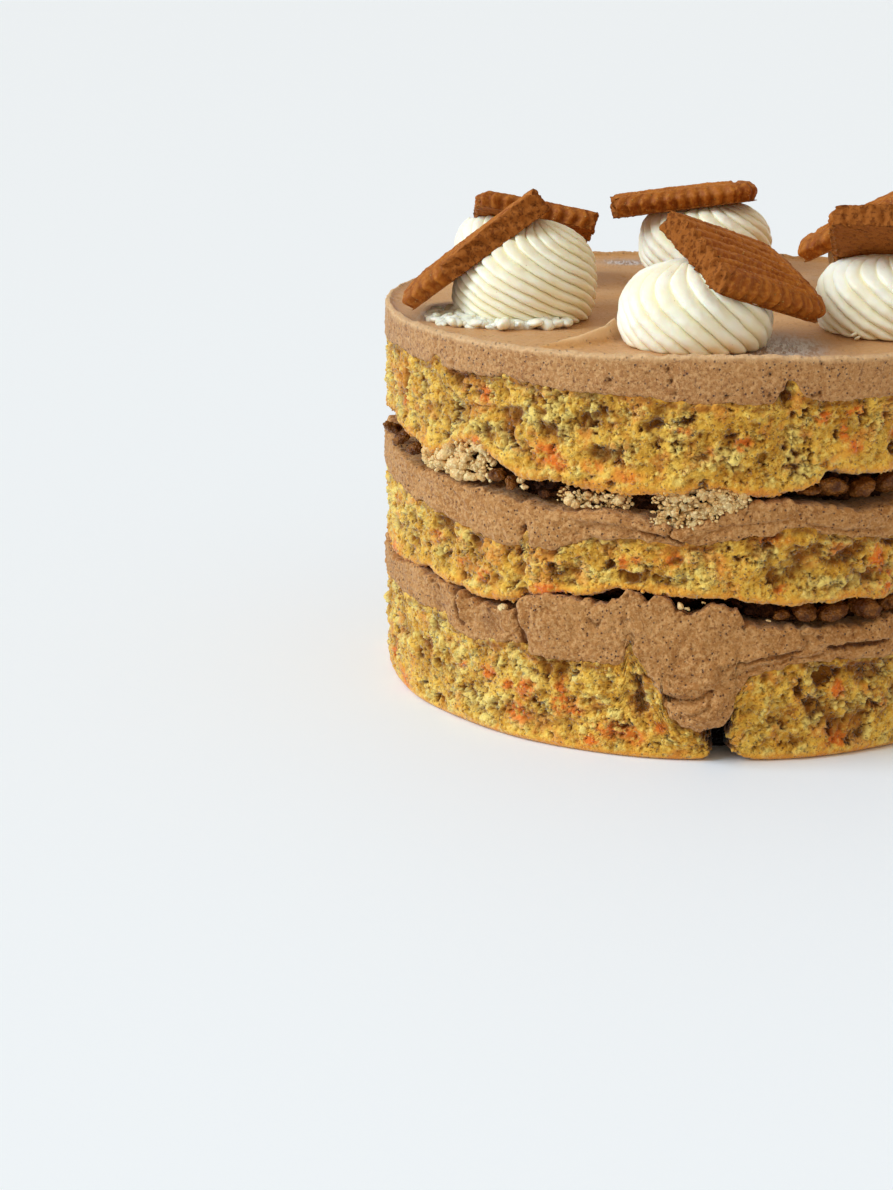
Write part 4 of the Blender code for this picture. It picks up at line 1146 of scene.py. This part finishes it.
brown = []
for seed, count, *limits in (
    (6, 70, (-34, -8), (56.2, 60.0), (3.4, 6.4), (0.8, 1.6)),
    (7, 40, (7, 36), (59.0, 62.0), (3.8, 6.4), (0.7, 1.5)),
    (8, 34, (16, 23), (31.0, 34.6), (2.4, 5.5), (0.8, 1.5)),
    (9, 40, (-5, 34), (33.0, 36.0), (5.0, 7.0), (0.7, 1.6)),
    (10, 90, (40, 275), (57.5, 61), (3.5, 6.5), (0.7, 1.7)),
    (11, 60, (40, 275), (32.5, 35.5), (4.0, 6.5), (0.7, 1.5)),
):
    brown += heap(seed, count, *limits)
make_lumps("brown_crumb", brown, BROWN_CRUMB, "crumb", rings=2, roughness=0.4)

# %% [markdown]
# ## Loose grains on the sponge
# The finest grains stand clear of the surface and catch the light. They are scattered by a tree over the
# finished sponge's side, in patches, and made real so that the piece is plain mesh.

# %% Tree: scattered grains
def grain_tree():
    tree, entry, leave = new_tree("scattered_grains", (
        ("Density", "Float", 60000.0), ("Size", "Float", 0.42), ("Seed", "Int", 1),
        ("Finish", "Material", None),
    ))
    where = place_in(tree)
    x, y, z = parts(where)
    on_side = ramp(root(x * x + y * y), 72.6, 73.8)
    patchy = ramp(noise(where, 5.0, 2.0), 0.42, 0.62)
    strewn = add_node(tree, "GeometryNodeDistributePointsOnFaces", {
        "Mesh": entry["Geometry"], "Seed": entry["Seed"],
        "Density": entry["Density"] * on_side * patchy * ramp(z, 1.6, 2.6),
    })
    ball = add_node(tree, "GeometryNodeMeshIcoSphere", {"Radius": MM, "Subdivisions": 1})
    wide = add_node(tree, "FunctionNodeRandomValue", {"Seed": entry["Seed"]}, data_type="FLOAT")
    least_size, most_size = [s for s in wide.inputs if s.enabled and s.name in ("Min", "Max")]
    feed(least_size, entry["Size"] * 0.55)
    feed(most_size, entry["Size"] * 1.7)
    placed = add_node(tree, "GeometryNodeInstanceOnPoints", {
        "Points": Field(strewn.outputs["Points"]), "Instance": Field(ball.outputs["Mesh"]),
        "Rotation": Field(strewn.outputs["Rotation"]),
        "Scale": Field(next(s for s in wide.outputs if s.enabled)),
    })
    real = add_node(tree, "GeometryNodeRealizeInstances", {"Geometry": Field(placed.outputs[0])})
    offset = vector_math("SCALE", jitter(where, 0.7, 2.0, 0.6), scale=entry["Size"] * 3.0 * MM)
    end_tree(tree, leave, shift(tree, Field(real.outputs[0]), offset), entry["Finish"], smooth=True)
    return tree


GRAINS = grain_tree()
for number, sponge in enumerate((sponge_bottom, sponge_middle, sponge_top)):
    grains = bpy.data.objects.new(sponge.name + "_grains", sponge.data.copy())
    bpy.context.scene.collection.objects.link(grains)
    run_tree(grains, GRAINS, density=260000.0, size=0.34, seed=number + 1, finish=SPONGE)
    settle(grains, "sponge")

# %% [markdown]
# ## The rosettes
# A rosette follows a rule: a ridged star tip presses out a dome while it turns, so every ridge starts at the
# peak and sweeps round on its way down. One tree makes it from a flat grid. Across the grid is the way
# round, and up it is the way from the foot to the peak. Its numbers are those of the six solids. The ridges
# are round on top with a sharp crease between them, which is what makes piped cream look piped.

# %% Tree: piped rosette
SWIRL_ROUND, SWIRL_UP = 301, 84  # points of the grid round the swirl and up it
BELLY = 0.28  # the share of its height at which a swirl is widest
FOOT_CAP = 0.08  # the share of the grid that closes the foot


def rosette_tree():
    tree, entry, leave = new_tree("piped_rosette", (
        ("Place", "Vector", (0, 0, 0)), ("Height", "Float", 18.0), ("Radius", "Float", 17.0),
        ("Fullness", "Float", 3.0), ("Ridges", "Float", 20.0), ("Ridge Depth", "Float", 2.1),
        ("Twist", "Float", 80.0), ("Lean", "Vector", (0, 0, 0)), ("Seed", "Float", 0.0),
        ("Finish", "Material", None),
    ))
    sheet = add_node(tree, "GeometryNodeMeshGrid", {
        "Size X": 1.0, "Size Y": 1.0, "Vertices X": SWIRL_ROUND, "Vertices Y": SWIRL_UP})
    u, v, _ = parts(Field(add_node(tree, "GeometryNodeInputPosition").outputs[0]))
    u = u + 0.5
    climb = (v + 0.5) * (1 + FOOT_CAP) - FOOT_CAP
    cap = least(most((climb + FOOT_CAP) / FOOT_CAP, 0.0), 1.0)
    up = least(most(climb, 0.0), 1.0)
    share = 1.0 - (1.0 - up) ** 1.7
    tuck = 1.0 - (1.0 - least(share / BELLY, 1.0)) ** 2.0 * 0.09
    dome = root(most(1.0 - most((share - BELLY) / (1 - BELLY), 0.0) ** entry["Fullness"], 0.0))
    outline = entry["Radius"] * tuck * dome
    turned = entry["Twist"] * (math.pi / 180) * (1.0 - share) ** 1.2
    across = size_of(remainder(u * entry["Ridges"]) ** 0.8 - 0.5) * 2.0
    round_top = root(most(1.0 - across ** 2.0 * 0.96, 0.0))
    fade = least(outline / (entry["Radius"] * 0.45), 1.0)
    away = (outline - (1.0 - round_top) * entry["Ridge Depth"] * fade) * cap
    side = turned + u * (2 * math.pi)
    lean = vector_math("SCALE", entry["Lean"], scale=share * share)
    spot = vector(away * cosine(side), away * sine(side), entry["Height"] * share)
    spot = vector_math("ADD", vector_math("ADD", spot, lean), entry["Place"])
    shifted = vector_math("ADD", spot, vector(entry["Seed"] * 13.0, entry["Seed"] * 7.0, 0.0))
    slump = vector_math("SCALE", jitter(shifted, 11.0, 1.0), scale=ramp(share, 0.0, 0.3) * 1.6)
    frill = vector_math("SCALE", jitter(shifted, 2.2), scale=0.45)
    spot = vector_math("ADD", vector_math("ADD", spot, slump), frill)
    # Painted shade in the creases between the ridges, stored for the finish.
    kept = keep_value(tree, Field(sheet.outputs["Mesh"]), "valley", (across ** 3.0) * fade)
    moved = add_node(tree, "GeometryNodeSetPosition", {
        "Geometry": kept, "Position": vector_math("SCALE", spot, scale=MM)})
    joined = add_node(tree, "GeometryNodeMergeByDistance", {
        "Geometry": Field(moved.outputs[0]), "Distance": 0.002 * MM})
    end_tree(tree, leave, Field(joined.outputs[0]), entry["Finish"], smooth=True)
    return tree


PIPED_ROSETTE = rosette_tree()
print(PIPED_ROSETTE.name, len(PIPED_ROSETTE.nodes), "nodes")

# %% [markdown]
# ## The biscuits
# Six broken pieces of an oblong caramelised biscuit with a crimped edge. Each is stacked from copies of its
# outline: the underside, the side, and the top, whose relief is a sloping border round a raised panel with
# soft ribs. The pattern is a plain generic one. A break is rough and porous where the side was skin before.

# %% The biscuit's outline and relief
BISCUIT_LONG, BISCUIT_WIDE, BISCUIT_THICK = 62.0, 31.0, 6.2
BISCUIT_CORNER, CRIMP_PITCH, CRIMP_DEPTH = 4.5, 3.3, 0.95
BORDER_WIDE, RIB_PITCH = 5.2, 4.1


def biscuit_outline(breaks, seed, step=0.44):
    """Points round the biscuit, with their crimp (0 to 1) and whether they lie on a break."""
    half_x, half_y, r = BISCUIT_LONG / 2 - BISCUIT_CORNER, BISCUIT_WIDE / 2 - BISCUIT_CORNER, BISCUIT_CORNER
    path = []
    corners = ((half_x, -half_y, -90), (half_x, half_y, 0), (-half_x, half_y, 90), (-half_x, -half_y, 180))
    for cx, cy, start in corners:
        for turn in np.radians(np.linspace(start, start + 90, 12)):
            path.append((cx + r * math.cos(turn), cy + r * math.sin(turn)))
    path = np.array(path + path[:1])
    for point, away in breaks:
        away = np.array(away, float) / np.hypot(*away)
        kept = []
        for p, q in zip(path, path[1:]):
            first, last = (p - point) @ away, (q - point) @ away
            if first <= 0:
                kept.append(p)
            if (first <= 0) != (last <= 0):
                kept.append(p + (q - p) * first / (first - last))
        path = np.array(kept + kept[:1])
    lengths = np.concatenate(([0], np.cumsum(np.hypot(*np.diff(path, axis=0).T))))
    at = np.arange(0, lengths[-1], lengths[-1] / round(lengths[-1] / step))
    line = np.stack([np.interp(at, lengths, path[:, i]) for i in (0, 1)], 1)
    raw, sharp = np.zeros(len(line)), line.copy()
    for _ in range(round(12 / step)):  # wears the corners round
        line = (np.roll(line, 1, 0) + 2 * line + np.roll(line, -1, 0)) / 4
    for point, away in breaks:
        away = np.array(away, float) / np.hypot(*away)
        near = np.abs((sharp - point) @ away)
        raw = np.maximum(raw, near < 0.2)
        pick = np.random.default_rng(seed)
        sway = sum(
            pick.uniform(0.2, 0.6) * np.sin(at * pace + pick.uniform(0, 6.28))
            for pace in (0.35, 0.8, 1.7, 3.1))
        line += (near < 0.2)[:, None] * away * sway[:, None] * 0.4
    crimp = 0.5 - 0.5 * np.cos(2 * math.pi * at / CRIMP_PITCH)
    return line, crimp * (1 - raw), raw


def top_relief(points):
    """How far the top lies below its highest level at each place: border, panel and ribs."""
    x, y = points[:, 0], points[:, 1]
    half_long, half_wide = BISCUIT_LONG / 2, BISCUIT_WIDE / 2
    inset = np.minimum(half_long - np.abs(x), half_wide - np.abs(y))
    border = 1.0 - np.clip(inset / BORDER_WIDE, 0, 1) ** 0.8
    groove = np.exp(-((inset - BORDER_WIDE - 0.4) / 0.6) ** 2) * 0.8
    fan = np.hypot(0.55 * (x - 8), y + 21)
    wave = (0.5 - 0.5 * np.cos(2 * math.pi * fan / RIB_PITCH)) ** 2.2
    ribs = wave * 1.2 * np.clip((inset - BORDER_WIDE - 1.4) / 1.6, 0, 1)
    dome = 0.9 * (np.abs(y) / half_wide) ** 2 + 0.7 * (np.abs(x) / half_long) ** 3
    return border + groove + ribs + dome


print("whole biscuit:", BISCUIT_LONG, "x", BISCUIT_WIDE, "x", BISCUIT_THICK, "mm")

# %% Build a biscuit
def slab_frame(place, along, up):
    """Turns a biscuit's own directions into the cake's."""
    x_axis = Vector(along).normalized()
    z_axis = (Vector(up) - x_axis * Vector(up).dot(x_axis)).normalized()
    turn = Matrix((x_axis, z_axis.cross(x_axis), z_axis)).transposed().to_4x4()
    return np.array(Matrix.Translation(place) @ turn)


def biscuit_grain_tree():
    """A baked skin is faintly lumpy, and a break is full of holes."""
    tree, entry, leave = new_tree("biscuit_grain", (
        ("Skin Depth", "Float", 0.4), ("Hole Depth", "Float", 0.26), ("Finish", "Material", None),
    ))
    where = place_in(tree)
    holes = ramp(noise(where, 1.5, 2.0, 0.6), 0.5, 0.64) * marked(tree, "raw")
    height = (noise(where, 1.3, 3.0) - 0.5) * entry["Skin Depth"] * 2.0 - holes * entry["Hole Depth"]
    offset = vector_math("SCALE", normal_in(tree), scale=height * MM)
    end_tree(tree, leave, shift(tree, entry["Geometry"], offset), entry["Finish"])
    return tree


BISCUIT_GRAIN = biscuit_grain_tree()


def make_biscuit(name, place, along, up, breaks, seed):
    line, crimp, raw = biscuit_outline(breaks, seed)
    middle = line.mean(0)
    out = line - middle
    reach = np.hypot(*out.T)[:, None]
    pick = np.random.default_rng(seed + 50)
    waves = [(pick.uniform(-1.6, 1.6), pick.uniform(-1.6, 1.6), pick.uniform(0, 6.28)) for _ in range(14)]
    rings, skin, groove_shades = [], [], []

    def shrunk(inset):
        return middle + out * np.maximum(0.0, 1 - inset[:, None] / reach)

    def dimple(flat, shift_by=0.0):
        return sum(np.sin(a * flat[:, 0] + b * flat[:, 1] + c + shift_by) for a, b, c in waves) / len(waves)

    def add_ring(flat, height, torn, groove):
        rings.append(np.column_stack((flat, height)))
        skin.append(torn + 0 * crimp)
        groove_shades.append(groove + 0 * crimp)

    for share in (0.06, 0.2, 0.35, 0.5, 0.62, 0.72, 0.8, 0.87, 0.93, 0.97):
        flat = middle + out * share
        add_ring(flat, 0.25 * dimple(flat) + 0.15, 0.8, 0)
    steps = np.arange(len(line))
    for level in np.linspace(0, 1, 15):
        rounded = 1.5 * (1 - math.sin(math.pi * min(1, level * 1.7) / 2))
        rounded += 1.9 * max(0.0, level - 0.5) ** 1.6 / 0.33
        whole = rounded + crimp * CRIMP_DEPTH * min(1, level * 3 + 0.3) * (1.25 - 0.5 * level)
        torn = 0.35 + 0.32 * (np.sin(steps * 0.9 + level * 7 + seed) + np.sin(steps * 0.37 + level * 11 + seed))
        flat = shrunk(np.where(raw > 0, torn, whole))
        add_ring(flat, level * BISCUIT_THICK - top_relief(flat) * level ** 2, raw, crimp ** 2)
    last = shrunk(np.where(raw > 0, 0.6, 2.2 + crimp * CRIMP_DEPTH * 0.6))
    for share in np.append(np.linspace(0.985, 0.1, 44), 0.04):
        flat = middle + (last - middle) * share
        sunk = top_relief(flat)
        rim = crimp ** 2 * max(0.0, 1 - (1 - share) / 0.08)
        add_ring(flat, BISCUIT_THICK - sunk + 0.12 * dimple(flat, 2.0), 0.6 * raw if share > 0.975 else 0,
                 rim + 0.7 * np.clip((sunk - 1.0) / 0.9, 0, 1))
    frame_of = slab_frame(place, along, up)
    made = closed_grid(name, np.array(rings) @ frame_of[:3, :3].T + frame_of[:3, 3])
    mark(made, "raw", skin, (0.8, 0))
    # Painted shade in the crimps and the deep parts of the top.
    mark(made, "groove", groove_shades)
    run_tree(made, BISCUIT_GRAIN, finish=BISCUIT)
    return made


print(BISCUIT_GRAIN.name, len(BISCUIT_GRAIN.nodes), "nodes")

# %% [markdown]
# ## Each rosette with its biscuit
# The biscuit was pressed in while the cream was soft, so the cream is pushed down under it and keeps its
# ridges beside it. The points of the swirl that would lie inside or above the biscuit are moved to just under
# it, and those close beside it follow more and more loosely.

# %% Places of the rosettes and the biscuits
ROSETTES = {  # place, height, radius, fullness, twist, lean
    "front": ((-1.5, -54.5), 18.0, 16.8, 3.2, 70, (-0.6, 0)),
    "front_right": ((42.0, -32.0), 17.5, 17.4, 3.2, 95, (0, 0)),
    "back_right": ((47.0, 27.0), 18.5, 16.8, 3.0, 80, (0, 0)),
    "back": ((0.0, 52.0), 17.5, 17.2, 3.0, 85, (0, 0)),
    "back_left": ((-46.0, 27.0), 19.0, 16.6, 3.0, 80, (0, 0)),
    "front_left": ((-41.0, -25.0), 22.0, 16.7, 2.2, 160, (2.5, 1.5)),
}
BISCUITS = {  # middle of the underside, direction of its length, direction of its top, breaks
    "front": ((-3.6, -59.4, 107.4), (0.75, 0.59, -0.31), (0.45, -0.13, 0.88), (((-0.5, 0), (-1.0, 0.05)),)),
    "front_right": (
        (58.0, -39.6, 107.7), (0.99, -0.12, 0.02), (0.0, 0.53, 0.85),
        (((0, -11), (0.06, -1.0)), ((9, 0), (1.0, 0.15)))),
    "back_right": ((51.8, 28.3, 108.2), (0.89, 0.0, 0.455), (-0.45, 0.12, 0.88), (((11, 0), (1.0, -0.2)),)),
    "back": ((-17.3, 56.0, 101.4), (0.99, 0.0, 0.14), (-0.14, 0.13, 0.98), (((-5, 0), (-1.0, 0.1)),)),
    "back_left": ((-27.6, 26.0, 97.2), (0.98, 0.0, -0.20), (0.17, 0.42, 0.89), (((-2, 0), (1.0, 0.1)),)),
    "front_left": (
        (-41.3, -21.8, 108.4), (0.80, 0.0, 0.60), (-0.59, 0.06, 0.78),
        (((0, -12), (0.2, -1.0)), ((7, 0), (1.0, 0.2)))),
}


def press_under(swirl, place, along, up, breaks, seed):
    """Pushes the cream down to just under the biscuit."""
    frame_of = slab_frame(place, along, up)
    line = biscuit_outline(breaks, seed, 1.5)[0]
    count = len(swirl.data.vertices)
    points = np.zeros(count * 3)
    swirl.data.vertices.foreach_get("co", points)
    points = points.reshape(-1, 3) / MM
    local = (points - frame_of[:3, 3]) @ frame_of[:3, :3]
    gone = np.full(count, 1e9)
    inside = np.zeros(count, bool)
    for p, q in zip(line, np.roll(line, -1, axis=0)):
        run = q - p
        off = local[:, :2] - p
        share = np.clip((off @ run) / (run @ run), 0, 1)
        gone = np.minimum(gone, np.hypot(*(off - share[:, None] * run).T))
        crosses = (p[1] > local[:, 1]) != (q[1] > local[:, 1])
        inside ^= crosses & (local[:, 0] < p[0] + (local[:, 1] - p[1]) * run[0] / (run[1] if run[1] else 1e-9))
    outside = np.where(inside, 0.0, gone)
    limit = 0.1 + 2.2 * np.maximum(0, outside - 0.3)
    local[:, 2] = np.where(local[:, 2] > limit, limit, local[:, 2])
    points = local @ frame_of[:3, :3].T + frame_of[:3, 3]
    swirl.data.vertices.foreach_set("co", (points * MM).ravel())
    swirl.data.update()


for number, (name, (spot, height, radius, fullness, twist, lean)) in enumerate(ROSETTES.items()):
    swirl = piece_from("piped_" + name, [(0, 0, 0)], [])
    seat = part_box("rosette_" + name)[0].z / MM
    run_tree(swirl, PIPED_ROSETTE, place=(*spot, seat - 0.2), height=height, radius=radius, fullness=fullness,
             twist=float(twist), lean=(*lean, 0.0), seed=float(number), finish=WHITE_CREAM)
    place, along, up, breaks = BISCUITS[name]
    press_under(swirl, place, along, up, breaks, number)
    settle(swirl, "white_cream", "rosette_" + name)
    broken = make_biscuit("broken_biscuit_" + name, place, along, up, breaks, number)
    settle(broken, "biscuit", "biscuit_" + name)

# %% [markdown]
# ## Smears of white cream
# The front left rosette was nudged as it was set down, and left a ruffled smear along its foot. A small blob
# dropped beside the front right one. They are joined rough lumps, low and soft.

# %% Smear and blob
SMEAR_LEVEL = 89.3


def ring_of_blobs(centre, reach, start, end, count, sizes, seed):
    """Lumps along an arc round a rosette's foot, as angle, height, inset and size on the cake."""
    pick = np.random.default_rng(seed)
    made = []
    for i in range(count):
        turn = math.radians(start + (end - start) * i / (count - 1) + pick.uniform(-2, 2))
        away = reach + pick.uniform(-1.2, 1.6)
        x, y = centre[0] + away * math.cos(turn), centre[1] + away * math.sin(turn)
        angle, inset = math.degrees(math.atan2(x, -y)), CAKE_RADIUS - math.hypot(x, y)
        made.append((angle, SMEAR_LEVEL + pick.uniform(-0.2, 0.9), inset, pick.uniform(*sizes)))
    return made


smear = ring_of_blobs((-41, -25), 15.9, 180, 312, 74, (1.3, 2.5), 30)
smear += ring_of_blobs((-41, -25), 18.4, 188, 262, 36, (1.3, 2.3), 32)
smear += ring_of_blobs((-44, -27), 16.8, 176, 236, 26, (1.2, 2.2), 33)
smear += ring_of_blobs((42, -32), 18.2, 236, 240, 2, (0.7, 0.9), 31)
make_lumps("white_smear", smear, WHITE_CREAM, "white_cream", roughness=0.2, flatness=0.7)

# %% [markdown]
# ## Stage, light and camera
# The floor is plain and pale. The light is that of a bright room: a broad, cool window at the upper left is
# the only lamp, and a warm surround fills the shade, so that the right side of the cake is deeper and more
# golden than the left. The Standard view keeps whites and browns as they are set.

# %% Floor and surround
FLOOR_REACH = 60
SURROUND, SURROUND_STRENGTH = (1.0, 0.865, 0.69, 1), 0.6


def make_stage():
    mesh = bpy.data.meshes.new("floor")
    corners = [(x * FLOOR_REACH, y * FLOOR_REACH, 0) for x, y in ((-1, -1), (1, -1), (1, 1), (-1, 1))]
    mesh.from_pydata(corners, [], [(0, 1, 2, 3)])
    floor = bpy.data.objects.new("floor", mesh)
    bpy.context.scene.collection.objects.link(floor)
    made = bpy.data.materials.new("floor_paint")
    made.use_nodes = True
    shader = made.node_tree.nodes["Principled BSDF"]
    shader.inputs["Base Color"].default_value = (0.90, 0.95, 1.0, 1)
    shader.inputs["Roughness"].default_value = 0.6
    mesh.materials.append(made)
    world = bpy.data.worlds.new("surround")
    world.use_nodes = True
    sky = world.node_tree.nodes["Background"]
    sky.inputs["Color"].default_value = SURROUND
    sky.inputs["Strength"].default_value = SURROUND_STRENGTH
    bpy.context.scene.world = world


make_stage()
bpy.context.scene.view_settings.view_transform = "Standard"
print("stage ready")

# %% Light and camera
def add_sun(name, strength, spread, towards, colour):
    light = bpy.data.lights.new(name, "SUN")
    light.color = colour
    light.energy = strength
    light.angle = math.radians(spread)
    lamp = bpy.data.objects.new(name, light)
    lamp.rotation_mode = "QUATERNION"
    lamp.rotation_quaternion = Vector(towards).to_track_quat("-Z", "Y")
    bpy.context.scene.collection.objects.link(lamp)


add_sun("window", strength=2.85, spread=38, towards=(0.84, 0.26, -0.66), colour=(0.69, 0.84, 1.0))
SENSOR = 36
LENS = 2400 / 1190 * SENSOR
PITCH, YAW = math.radians(16.6), math.radians(-6.15)
camera = bpy.data.objects.new("camera", bpy.data.cameras.new("camera"))
camera.data.lens = LENS
camera.data.sensor_width = SENSOR
camera.data.clip_start = 0.01
camera.location = (0, -571 * MM, 185 * MM)
ahead = Vector((math.sin(YAW) * math.cos(PITCH), math.cos(YAW) * math.cos(PITCH), -math.sin(PITCH)))
camera.rotation_mode = "QUATERNION"
camera.rotation_quaternion = ahead.to_track_quat("-Z", "Y")
bpy.context.scene.collection.objects.link(camera)
bpy.context.scene.camera = camera
print("lens:", round(LENS, 1), "mm")
